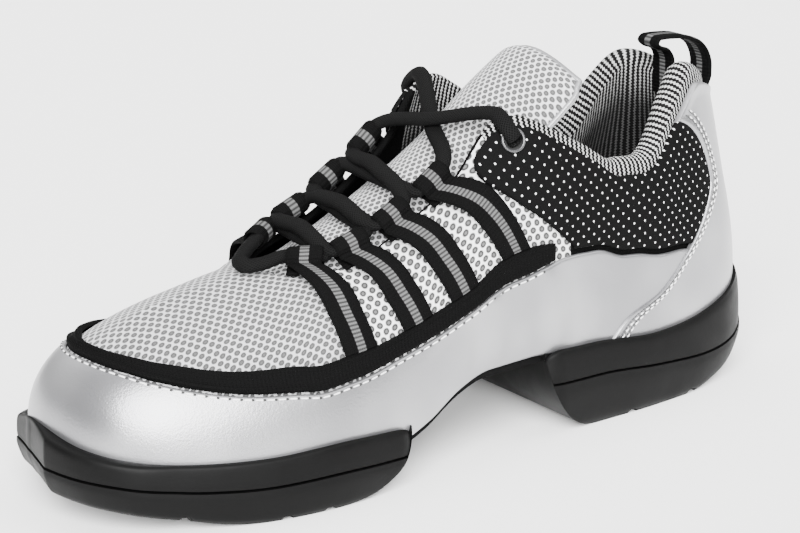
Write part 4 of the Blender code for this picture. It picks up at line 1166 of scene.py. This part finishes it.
def strap_lines(side, place, lines, count):
    """Turns and heights of a strap's lines up the wall, from the binding to the throat's edge."""
    top_base, foot_base = place
    share, line = np.meshgrid(np.linspace(0, 1, count), lines, indexing="ij")
    height = 0.5 + 0.5 * share
    for _ in range(8):
        centre = foot_base + (top_base - foot_base) * (height - 0.5) / 0.5
        step = 1e-3
        ahead = wall(turn_of(centre + step, side), height) - wall(turn_of(centre, side), height)
        turn = turn_of(centre + line * STRAP_WIDTH * step / np.linalg.norm(ahead, axis=-1), side)
        low = guard_heights(base_of(turn), 2) - seat_gap(turn)
        height = low + (0.999 - low) * share
    return turn, height


def loop_frame(side, place):
    """Where a strap reaches the throat's edge, and the directions ahead, to its heel side and outwards."""
    turn, height = (grid[-2:] for grid in strap_lines(side, place, (-0.5, 0.0, 0.5), 8))
    lines = even_wall(turn, height, np.zeros(turn.shape))
    out = normals(turn[-1, 1], height[-1, 1])
    across = lines[-1, 2] - lines[-1, 0]
    across = across * np.sign(across[0]) / np.linalg.norm(across)
    ahead = np.cross(across, out)
    ahead = ahead * np.sign(ahead @ (lines[-1, 1] - lines[-2, 1]))
    return lines[-1, 1], ahead, across, out


def band_surface(name, centre, facing, lines, width, thickness, run, finish, stands_for):
    """A webbing band on both sides of a middle sheet, with rounded sides and closed ends."""
    half = thickness / 2 * (0.25 + 0.75 * rounded((0.5 - np.abs(lines)) * width, WEBBING_ROUND))
    half = np.repeat(half[None], len(centre), axis=0)
    half[[0, -1]] = 0.0
    shift = facing * half[..., None]
    across = np.repeat((lines * width)[None], len(centre), axis=0)
    cloth = slab_map(across, np.repeat(run[:, None], len(lines), axis=1))
    grid = slab_grid(centre + shift, centre - shift)
    surface(name, grid, {"cloth": cloth}, [finish], stands_for, sharp_deg=70)


def build_strap_skin(side, word, number, place, finish):
    """A webbing strap: up the wall, over a round fold that holds the lace, and back under itself."""
    lines = np.linspace(-0.5, 0.5, BAND_LINES)
    turn, height = strap_lines(side, place, lines, 34)
    rise = np.clip((height - STRAP_LIFT_FROM) / (STRAP_LIFT_TO - STRAP_LIFT_FROM), 0, 1)
    lift = rise * rise * (3 - 2 * rise) * (STRAP_THICKNESS + 4 * GAP)
    centre_wall = even_wall(turn, height, SEAT + lift + STRAP_THICKNESS / 2 + np.zeros(turn.shape))
    out_wall = normals(turn, height)
    edge, ahead, across, out = loop_frame(side, place)
    across = across * np.sign(across @ (centre_wall[-1, -1] - centre_wall[-1, 0]))
    low, radius = LOOP_LOW, LOOP_RADIUS
    high = low + 2 * radius
    bend = np.linspace(0, math.pi, 15)
    round_reach = STRAP_LOOP_CENTRE + radius * np.sin(bend) / STRAP_LOOP_LENGTH
    reach = np.concatenate([[0.30, 0.60], round_reach, [0.30, -0.05, -0.35]])
    stand = np.concatenate([[high * 0.90, high], low + radius + radius * np.cos(bend), [low, low, low]])
    tilt = np.concatenate([[-0.30, 0.0], bend, np.full(3, math.pi)])
    middle = edge + ahead * (reach * STRAP_LOOP_LENGTH)[:, None] + out * stand[:, None]
    facing = out * np.cos(tilt)[:, None] + ahead * np.sin(tilt)[:, None]
    loop = middle[:, None] + (across * STRAP_WIDTH)[None, None] * lines[None, :, None]
    centre = np.concatenate([centre_wall, loop])
    facing = np.concatenate([out_wall, np.repeat(facing[:, None], len(lines), axis=1)])
    run = lengths(centre[:, len(lines) // 2], 0)
    at = np.linspace(0, run[-1], STRAP_STEPS)
    fine = np.stack([smooth_each(at, run, centre[:, j]) for j in range(len(lines))], axis=1)
    face = unit(np.stack([smooth_each(at, run, facing[:, j]) for j in range(len(lines))], axis=1))
    name = f"strap_{word}_{number}"
    band_surface(f"{name}_skin", fine, face, lines, STRAP_WIDTH, STRAP_THICKNESS, at, finish, [name])


def lace_route():
    """Points of the lace, from one top eyelet down through both sides' loops and up to the other eyelet.

    In each loop it runs from the heel side to the toe side; between two rows it crosses to the other side.
    """
    def through(side, place, way):
        """Three points through one loop: way 1 goes towards the heel, -1 towards the toe."""
        edge, ahead, across, out = loop_frame(side, place)
        centre = edge + ahead * STRAP_LOOP_CENTRE * STRAP_LOOP_LENGTH * 0.95 + out * (LOOP_LOW + LOOP_RADIUS)
        steps = (STRAP_WIDTH / 2 + 0.0004, 0.0, -STRAP_WIDTH / 2 - 0.0004)
        return [centre - across * step * way + ahead * 0.0012 * (step != 0) for step in steps]

    halves = []
    for side, over in ((LATERAL, 1.0), (MEDIAL, -1.0)):
        route, here = [], side
        lift = np.array(LACE_ARCH) * (LACE_CROWN + over * LACE_THICKNESS * 0.55)
        for place in STRAPS:
            group = through(here, place, 1)
            if route:
                route.append((route[-1] + group[0]) / 2 + lift)
            route += group
            here = -here
        centre, out = eyelet_place(here)
        rim = wall(turn_of(LACE_TOP_BASE, here), 1.0)
        over_rim = rim + np.array([0.0, -here * 0.0015, LACE_THICKNESS * 0.80])
        sag = np.array(LACE_ARCH) * (LACE_TOP_SAG + over * LACE_THICKNESS * 0.5)
        route += [(route[-1] + over_rim) / 2 + sag, over_rim]
        route += [rim * 0.45 + centre * 0.55 + out * 0.0032, centre + out * 0.0012, centre - out * 0.0030]
        halves.append(route)
    first, last = halves[0][0], halves[1][0]
    shares = np.array([0.2, 0.4, 0.6, 0.8])[:, None]
    bar = first + (last - first) * shares + np.array(LACE_BAR_SWING) * 4 * shares * (1 - shares)
    return halves[0][::-1] + list(bar) + halves[1]


def build_lace(finish):
    """One lace that runs through all eight loops and ends in the top eyelets."""
    route = spline(lace_route(), LACE_STEPS)
    stands_for = ["lace_bar", "lace_row_1", "lace_row_2", "lace_row_3", "lace_top"]
    width, thickness = LACE_WIDTH * LACE_WIDER, LACE_THICKNESS * LACE_THICKER
    cord_mesh("lace", route, LACE_FACING, width, thickness, finish, stands_for)


def round_grid(centre, out, turn, reach, stand):
    """Circles about an axis: each point is reach away from the axis at its turn, and stands off along it."""
    first = unit(np.cross(out, np.array([1.0, 0.0, 0.0])))
    second = np.cross(out, first)
    points = centre + (reach * np.cos(turn))[..., None] * first + (reach * np.sin(turn))[..., None] * second
    return points + stand[..., None] * out


def eyelet_place(side):
    """Centre and outward direction of a top eyelet on the quarter's outer face."""
    turn = turn_of(EYELET_PLACE, side)
    stand = np.array(SEAT + COUNTER_THICKNESS + QUARTER_SWELL + EYELET_STAND)
    return wall(turn, EYELET_HEIGHT, stand), normals(turn, EYELET_HEIGHT)


def build_eyelet_skin(side, word, finish):
    """A thin pressed ring round the top lace hole: a small circle carried round a larger one."""
    centre, out = eyelet_place(side)
    around, sides = np.linspace(0, 2 * math.pi, 49), np.linspace(0, 2 * math.pi, 13)
    turn, section = np.meshgrid(around, sides, indexing="ij")
    reach = EYELET_RADIUS - EYELET_RIM + EYELET_RIM * np.cos(section)
    grid = round_grid(centre, out, turn, reach, EYELET_RIM * np.sin(section))
    surface(f"eyelet_{word}_skin", grid, flat_map(grid, 2), [finish], [f"eyelet_{word}"], sharp_deg=80)


def disc(name, centre, out, radius, depth, finish):
    """A shallow closed disc: circles that shrink to a point on its face and on its back."""
    profile = np.array([(0.0, 0.0), (0.6, 0.0), (1.0, 0.02), (1.0, 1.0), (0.0, 1.0)])
    turn, reach = np.meshgrid(np.linspace(0, 2 * math.pi, 33), profile[:, 0] * radius, indexing="ij")
    stand = np.broadcast_to(-profile[:, 1] * depth, reach.shape)
    grid = round_grid(centre, out, turn, reach, stand)
    surface(name, grid, flat_map(grid, 2), [finish], [])


def build_pull_loop_skin(finish):
    """The heel's finger loop: a flat band up the counter, forward over the collar and down inside."""
    stand = SEAT + GAP + COUNTER_THICKNESS + PULL_LOOP_THICKNESS / 2
    outside = wall(np.ones(3), np.array([0.80, 0.88, 0.955]), np.full(3, stand))
    rim = top(np.array([1.0]))[0]
    route = (
        (0.33, 0.10), (0.32, 0.42), (0.16, 0.74), (-0.20, 0.95), (-0.62, 1.02), (-0.93, 1.03),
        (-1.02, 0.93), (-0.93, 0.84), (-0.72, 0.74), (-0.62, 0.50), (-0.62, 0.10), (-0.62, -0.25),
    )
    beyond = [(rim[0] + PULL_LOOP_REACH * a, rim[1], rim[2] + PULL_LOOP_RISE * b) for a, b in route]
    path = spline(np.concatenate([outside, beyond]), 150)
    out = np.cross(unit(np.gradient(path, axis=0)), np.array([0.0, 1.0, 0.0]))
    lines = np.linspace(-0.5, 0.5, BAND_LINES)
    centre = path[:, None] + np.array([0.0, PULL_LOOP_WIDTH, 0.0])[None, None] * lines[None, :, None]
    size, run = (PULL_LOOP_WIDTH, PULL_LOOP_THICKNESS), lengths(path, 0)
    band_surface("pull_loop_skin", centre, out[:, None], lines, *size, run, finish, ["pull_loop"])


# Soles and boards


def toe_face_outset(turns, plain_outset):
    """How far the sole stands out at each column. Round the toe it reaches a flat face with two corners."""
    turned = math.radians(TOE_FACE_TURN_DEG)
    facing = np.array([-math.cos(turned), math.sin(turned), 0.0])
    tip = foot(np.array([0.0]))[0]
    edge = foot(turns)
    towards = outward(turns) @ facing
    to_face = (tip @ facing + TOE_FACE_REACH - edge @ facing) / np.maximum(towards, TOE_FACE_LEAST_FACING)
    near_toe = np.clip((base_of(turns) - TOE_FACE_FROM) / TOE_FACE_FADE, 0, 1)
    most = plain_outset + (TOE_FACE_MOST - plain_outset) * near_toe * near_toe * (3 - 2 * near_toe)
    return np.where(towards > TOE_FACE_LEAST_FACING, np.minimum(to_face, most), most)


def spine(turns, height_of):
    """The middle line that a plate's columns meet on, drawn in from both ends so that they fan there."""
    base = base_of(turns)
    ends = 0.0, 2 * SPINE_HEEL, 2 * SPINE_TOE - 1, 1.0
    along = np.interp(base, ends, (SPINE_HEEL, *ends[1:3], SPINE_TOE))
    pairs = foot(turn_of(along, LATERAL)), foot(turn_of(along, MEDIAL))
    middle = (pairs[0] + pairs[1]) / 2
    middle[:, 2] = height_of(along, middle[:, 2])
    return middle


def beside_wall(turns, height, out):
    """The point of each column at this height that stands out from the upper's face by out."""
    level = np.linspace(0, 1, 60)
    faces = middle_surface(*np.meshgrid(turns, level, indexing="ij"))
    cell = np.clip((faces[..., 2] < height[:, None]).sum(axis=1) - 1, 0, len(level) - 2)
    pick = np.arange(len(turns))
    low, high = faces[pick, cell, 2], faces[pick, cell + 1, 2]
    share = np.clip((height - low) / np.maximum(high - low, 1e-9), 0, 1)
    places = faces[pick, cell] + (faces[pick, cell + 1] - faces[pick, cell]) * share[:, None]
    places = places + np.reshape(out, (-1, 1)) * outward(turns)
    places[:, 2] = height
    return places


def sole_sections(turns):
    """Sections of both soles: a cup for the upper, a bevelled lip, two rounded bands about a groove, a tread.

    Each section is a chain of corners; between corners of a band it follows a smooth curve.
    """
    count = len(turns)
    rows = np.array(SOLE)
    tread = round_ring(turns, SOLE, 1, 1) * HEEL_SEAT_HEIGHT
    edge, away = foot(turns), outward(turns)
    lip = np.maximum(round_ring(turns, SOLE, 2, 2) * HEEL_SEAT_HEIGHT, edge[:, 2] + SOLE_LIP_LEAST)
    padded = np.pad(lip, LIP_SPREAD, mode="edge")
    evened = np.mean([padded[k : k + count] for k in range(2 * LIP_SPREAD + 1)], axis=0)
    lip = np.where(base_of(turns) < 0.5, np.maximum(evened, edge[:, 2] + SOLE_LIP_LEAST / 2), lip)
    floor = edge[:, 2] - BOARD_THICKNESS - GAP - SEAT
    cover = SEAT + GUARD_THICKNESS + GAP
    groove = tread + (lip - tread) * round_ring(turns, SOLE, 3, 3)
    from_end = np.minimum(np.abs(base_of(turns) - FOREFOOT_REAR), np.abs(base_of(turns) - HEEL_FRONT))
    fall = 1 - np.sqrt(1 - np.clip(1 - from_end / PAD_END_LENGTH, 0, 1) ** 2)
    lip = np.maximum(lip - PAD_END_DROP * fall, floor + 0.0012)
    full = toe_face_outset(turns, np.full(count, SOLE_BULGE)) - PAD_END_INSET * fall
    full = np.maximum(full, cover + 2 * GAP)

    def beside_foot(height, out):
        """The point at this height that stands out from the bottom edge by out."""
        places = edge + np.reshape(out, (-1, 1)) * away
        places[:, 2] = height
        return places

    covers = np.full(count, cover)
    flat_tread = spine(turns, lambda along, seat: np.interp(along, rows[:, 0], rows[:, 1]) * HEEL_SEAT_HEIGHT)
    flat_floor = spine(turns, lambda along, seat: seat - BOARD_THICKNESS - GAP - SEAT)
    cup = [flat_floor, beside_foot(floor, covers)]
    for share in (0.0, 0.33, 0.67, 1.0):
        height = edge[:, 2] + 0.0002 + (lip - 0.0006 - edge[:, 2]) * share
        cup.append(beside_wall(turns, height, covers))
    deep = np.maximum(full - SOLE_GROOVE_DEPTH, cover + GAP)
    shoulder = beside_wall(turns, lip, cover + (full - cover) * SOLE_LIP_SHARE * 0.6)
    upper_band = [
        shoulder,
        beside_foot(lip * 0.95 + groove * 0.05, cover + (full - cover) * 0.75),
        beside_foot(lip * 0.78 + groove * 0.22, full - 0.0002),
        beside_foot(lip * 0.35 + groove * 0.65, full + 0.0002),
        beside_foot(groove + FINE_GROOVE_HALF, full + 0.0002),
    ]
    lower_band = [
        beside_foot(groove - FINE_GROOVE_HALF, full + 0.0005),
        beside_foot(groove * 0.75 + tread * 0.25, full + 0.0005),
        beside_foot(groove * 0.45 + tread * 0.55, full - 0.0003),
        beside_foot(groove * 0.15 + tread * 0.85, full - 0.0015),
        beside_foot(tread, full - TREAD_INSET),
    ]
    chains = [np.stack(cup, axis=1)]
    for band in (upper_band, lower_band):
        corners = np.stack(band, axis=1)
        at = np.linspace(0, len(band) - 1, BAND_STEPS)
        fine = np.stack([curve_rows(at, corners[..., k]) for k in range(3)], axis=-1)
        chains.append(fine)
        if band is upper_band:
            bottom = [beside_foot(groove + 0.0003, deep), beside_foot(groove - 0.0003, deep)]
            chains.append(np.stack(bottom, axis=1))
    last = chains[-1][:, -1]
    chains.append(last[:, None] + (flat_tread - last)[:, None] * np.linspace(0.04, 1, 14)[None, :, None])
    return np.concatenate(chains, axis=1)


def curve_rows(at, values):
    """Each row of values as a smooth curve through them at 0, 1, 2 and so on, read at the places at."""
    count = values.shape[1]
    slopes = np.gradient(values, axis=1)
    cell = np.clip(at.astype(int), 0, count - 2)
    share = at - cell
    a, b = values[:, cell], values[:, cell + 1]
    rise = share * share * (3 - 2 * share)
    lead = slopes[:, cell] * share * (1 - share) ** 2
    trail = slopes[:, cell + 1] * share * share * (share - 1)
    return a + (b - a) * rise + lead + trail


def build_pad(name, turns, nose, grooves, finish, stands_for):
    """A sole pad: the sections of its columns, with all that lies below its nose or a lug groove raised."""
    grid = sole_sections(turns)
    tip, floor = nose
    rows = np.array(SOLE)
    place = TREAD_CENTRE - grid[..., 0] / LAST_LENGTH
    tip_height = np.interp(tip, rows[:, 0], rows[:, 2]) * HEEL_SEAT_HEIGHT
    share = np.clip((place - floor) / (tip - floor), 0, 1)
    arc = tip_height * (1 - np.sqrt(1 - share * share))
    grid[..., 2] = np.maximum(grid[..., 2], arc)
    for middle in grooves:
        depth = np.interp(middle, rows[:, 0], rows[:, 1]) * HEEL_SEAT_HEIGHT + LUG_GROOVE_DEPTH
        off = np.abs((TREAD_CENTRE - middle) * LAST_LENGTH - grid[..., 0])
        in_groove = np.clip((LUG_GROOVE_WIDTH / 2 - off) / 0.0004, 0, 1)
        grid[..., 2] = np.maximum(grid[..., 2], depth * in_groove - 0.001 * (in_groove <= 0))
    grid = np.concatenate([grid, grid[:, :1]], axis=1)
    ends = [np.broadcast_to((grid[k, :1] + grid[k, -2:-1]) / 2, grid[k].shape)[None] for k in (0, -1)]
    grid = np.concatenate([ends[0], grid, ends[1]], axis=0)
    surface(name, grid, flat_map(grid, 1), [finish], stands_for, sharp_deg=42)


def pad_turns(nose_base, far_base):
    """Turns of a pad's columns: from its nose on one side round its far end to its nose on the other side."""
    if far_base > nose_base:
        return np.linspace(turn_of(nose_base, LATERAL), turn_of(nose_base, MEDIAL), PAD_COLUMNS)
    return np.linspace(turn_of(nose_base, MEDIAL), 2 + turn_of(nose_base, LATERAL), PAD_COLUMNS)


def build_plate(name, inset, low, high, finish, stands_for):
    """A flat plate that follows the bottom edge of the upper, between two heights above it."""
    turns = fine_ring()
    edge = foot(turns) - inset * outward(turns)
    middle = spine(turns, lambda along, seat: seat)
    share = np.linspace(0, 1, 12)[None, :, None]
    sheet = middle[:, None] + (edge - middle)[:, None] * share
    up = np.array([0.0, 0.0, 1.0])
    grid = slab_grid(sheet + high * up, sheet + low * up)
    grid = np.concatenate([grid, grid[:1]], axis=0)
    surface(name, grid, flat_map(grid, 1), [finish], stands_for)


# Stitching


def stitches(name, path, out, pitch, length, radius, finish):
    """A row of small rounded stitches along a path: capsules of eight sides, joined in one mesh."""
    run = lengths(path, 0)
    starts = np.arange(pitch / 2, run[-1] - length, pitch)
    at = np.stack([starts, starts + length * 0.5, starts + length], axis=1)
    centre = np.stack([np.interp(at, run, path[:, k]) for k in range(3)], axis=-1)
    facing = unit(np.stack([np.interp(starts, run, out[:, k]) for k in range(3)], axis=-1))
    side = np.cross(unit(centre[:, 2] - centre[:, 0]), facing)
    turn = np.linspace(0, 2 * math.pi, 9)[:-1]
    profile = np.array([(0.0, 0.0), (0.10, 0.75), (0.5, 1.0), (0.90, 0.75), (1.0, 0.0)])
    spots = centre[:, :1] + (centre[:, 2:] - centre[:, :1]) * profile[None, :, :1]
    reach = profile[None, :, 1, None, None] * radius
    cosine, sine = (wave(turn)[None, None, :, None] for wave in (np.cos, np.sin))
    points = spots[:, :, None] + reach * (cosine * side[:, None, None] + sine * facing[:, None, None])
    count, rings, sides = points.shape[:3]
    index = np.arange(count * rings * sides).reshape(count, rings, sides)
    after = np.roll(index, -1, axis=2)
    quads = np.stack([index[:, :-1], after[:, :-1], after[:, 1:], index[:, 1:]], axis=-1).reshape(-1, 4)
    mesh = bpy.data.meshes.new(name)
    mesh.from_pydata(points.reshape(-1, 3), [], quads)
    finished(name, mesh, [finish], MERGE_STITCHES_WITHIN)


def wall_row(turns, heights, stand):
    """A line on the wall and its outward directions, for a row of stitches."""
    return even_wall(turns, heights, np.full(turns.shape, stand)), normals(turns, heights)


def build_stitches(dark, pale, shade):
    """Rows of stitches under the binding and along the counter's seam, on both sides, with painted shade
    round the counter's stitches.
    """
    ring = fine_ring()
    turns = ring[base_of(ring) > BINDING_FROM + 0.01]
    below = GUARD_ROW_INSET / np.linalg.norm(top(turns) - foot(turns), axis=-1)
    heights = guard_heights(base_of(turns), 1) - below
    path, out = wall_row(turns, heights, SEAT + GUARD_THICKNESS)
    stitches("guard_thread", path - ROW_SINK * out, out, *GUARD_THREAD, pale)
    stitches("guard_stitches", path, out, *GUARD_STITCH, dark)
    heights = np.linspace(0.04, OVERLAY_TOP - 0.03, 200)
    seam = turn_of(edge_base(COUNTER_EDGE, heights), LATERAL)
    step = 1e-3
    run = np.linalg.norm(wall(seam + step, heights) - wall(seam, heights), axis=-1) / step
    for side, word in ((LATERAL, "outer"), (MEDIAL, "inner")):
        for number, (inset, stand) in enumerate(COUNTER_ROWS, 1):
            turns = (seam - (GAP + inset) / run) * -side
            path, out = wall_row(turns, heights, SEAT + GAP / 2 + COUNTER_THICKNESS + stand)
            stitches(f"counter_stitches_{word}_{number}", path, out, *COUNTER_STITCH, pale)
            # Dark capsules under and between the counter's stitches: painted shade round the stitches and in
            # their holes
            stitches(f"counter_hole_shade_{word}_{number}", path - ROW_SINK * out, out, *COUNTER_HOLE_SHADE, shade)


# Floor, light and camera


def build_stage():
    """A pale floor that reaches past the view."""
    mesh = bpy.data.meshes.new("floor")
    corners = [(x * FLOOR_HALF, y * FLOOR_HALF, 0) for x, y in ((-1, -1), (1, -1), (1, 1), (-1, 1))]
    mesh.from_pydata(corners, [], [(0, 1, 2, 3)])
    mesh.materials.append(Finish("floor", FLOOR_COLOUR, 0.85).material)
    floor = placed("floor", mesh)


def direction(azimuth_deg, elevation_deg):
    """Unit vector from the shoe towards a place that stands at these angles."""
    azimuth, elevation = math.radians(azimuth_deg), math.radians(elevation_deg)
    level = math.cos(elevation)
    return Vector((math.sin(azimuth) * level, -math.cos(azimuth) * level, math.sin(elevation)))


def sun_light(name, azimuth_deg, elevation_deg, strength, spread_deg):
    """An even soft light from one direction, as from a wide lamp far away."""
    data = bpy.data.lights.new(name, "SUN")
    data.energy = strength
    data.angle = math.radians(spread_deg)
    lamp = placed(name, data)
    lamp.rotation_mode = "QUATERNION"
    lamp.rotation_quaternion = (-direction(azimuth_deg, elevation_deg)).to_track_quat("-Z", "Y")


def build_light():
    """A bright room, paler above than at its walls, a wide soft lamp in front and weaker ones aside."""
    world = bpy.data.worlds.new("room")
    world.use_nodes = True
    nodes, links = world.node_tree.nodes, world.node_tree.links
    place = nodes.new("ShaderNodeTexCoord")
    split = nodes.new("ShaderNodeSeparateXYZ")
    ramp = nodes.new("ShaderNodeMapRange")
    links.new(place.outputs["Generated"], split.inputs[0])
    links.new(split.outputs[2], ramp.inputs["Value"])
    limits = (("From Min", 0.0), ("From Max", ROOM_FULL_AT), ("To Min", ROOM_BELOW), ("To Max", ROOM_ABOVE))
    for key, value in limits:
        ramp.inputs[key].default_value = value
    links.new(ramp.outputs[0], nodes["Background"].inputs["Strength"])
    nodes["Background"].inputs["Color"].default_value = (1.0, 1.0, 1.0, 1.0)
    bpy.context.scene.world = world
    for sun in SUNS:
        sun_light(*sun)


def build_camera():
    """The camera at the photo's angle, distance, roll and framing."""
    back = direction(CAMERA_AZIMUTH_DEG, CAMERA_ELEVATION_DEG)
    roll = math.radians(CAMERA_ROLL_DEG)
    right = (-back).cross(Vector((0, 0, 1))).normalized()
    up = right.cross(-back)
    turned_right = right * math.cos(roll) + up * math.sin(roll)
    turned_up = -right * math.sin(roll) + up * math.cos(roll)
    data = bpy.data.cameras.new("camera")
    data.sensor_width = SENSOR_WIDTH
    data.lens = CAMERA_FOCAL_PX / PHOTO_WIDTH * SENSOR_WIDTH
    data.shift_x = (PHOTO_WIDTH / 2 - CAMERA_CENTRE_PX[0]) / PHOTO_WIDTH
    data.shift_y = (CAMERA_CENTRE_PX[1] - PHOTO_HEIGHT / 2) / PHOTO_WIDTH
    camera = placed("camera", data)
    place = Vector(CAMERA_TARGET) + back * CAMERA_DISTANCE
    rows = [(turned_right[k], turned_up[k], back[k], place[k]) for k in range(3)]
    camera.matrix_world = Matrix(rows + [(0, 0, 0, 1)])
    bpy.context.scene.camera = camera


def build_shoe():
    """Every piece of the shoe, each with its finish."""
    # The vamp's yarn is greyer than the side's white yarn: partly its own tone, partly painted shade
    vamp_mesh = air_mesh("vamp_mesh", "vamp", (0.52, 0.52, 0.53), grey(0.035), grey(0.070))
    side_mesh = air_mesh("side_mesh", "side", grey(0.95), grey(0.012), grey(0.10), 1.14)
    tongue_mesh = air_mesh("tongue_mesh", "cloth", (0.64, 0.64, 0.65), grey(0.04), grey(0.08), 0.88)
    lining = striped_lining("striped_lining")
    silver = silver_leather("silver_leather")
    rubber = black_rubber("black_rubber")
    edging = webbing("black_webbing", False)
    strap = webbing("striped_webbing", True)
    build_upper_skin(vamp_mesh, side_mesh, lining, edging)
    build_guard_skin(silver)
    build_binding_skin(edging)
    build_counter_skin(silver)
    build_tongue_skin(tongue_mesh, silver)
    build_pull_loop_skin(strap)
    dotted = dotted_cloth("dotted_cloth")
    ring_metal = plain("eyelet_metal", (0.030, 0.030, 0.032), 0.24, Specular_IOR_Level=0.9)
    # Black for the eyelets' openings: painted shade
    dark = plain("painted_hole_shade", grey(0.004), 0.9)
    for side, word in ((LATERAL, "outer"), (MEDIAL, "inner")):
        build_quarter_skin(side, word, dotted)
        build_eyelet_skin(side, word, ring_metal)
        centre, out = eyelet_place(side)
        # A black disc fills each eyelet's opening: painted shade of the hole
        disc(f"eyelet_hole_shade_{word}", centre + out * 0.0002, out, EYELET_RADIUS - EYELET_RIM, 0.0010, dark)
        for k, place in enumerate(STRAPS):
            build_strap_skin(side, word, k + 1, place, strap)
    build_lace(braided_lace("braided_lace"))
    pads = (
        ("forefoot", FOREFOOT_REAR, FOREFOOT_FLOOR, 1.0, LUG_GROOVES_FOREFOOT),
        ("heel", HEEL_FRONT, HEEL_FLOOR, 0.0, LUG_GROOVES_HEEL),
    )
    for word, tip, floor, far, grooves in pads:
        build_pad(f"{word}_pad", pad_turns(tip, far), (tip, floor), grooves, rubber, [f"{word}_sole"])
    board = plain("black_board", grey(0.003), 0.8, Specular_IOR_Level=0.05)
    build_plate("arch_board_skin", 0.0, -GAP - BOARD_THICKNESS, -GAP, board, ["arch_board"])
    insole_cloth = plain("insole_cloth", grey(0.02), 0.9, 0.0001)
    build_plate("insole_skin", WALL + 2 * GAP, 0.0, INSOLE_THICKNESS, insole_cloth, ["insole"])
    dark_thread = plain("dark_thread", grey(0.02), 0.7)
    silver_thread = plain("silver_thread", grey(0.90), 0.6)
    build_stitches(dark_thread, silver_thread, plain("stitch_shadow", grey(0.10), 0.9))


build_shoe()
build_stage()
build_light()
build_camera()
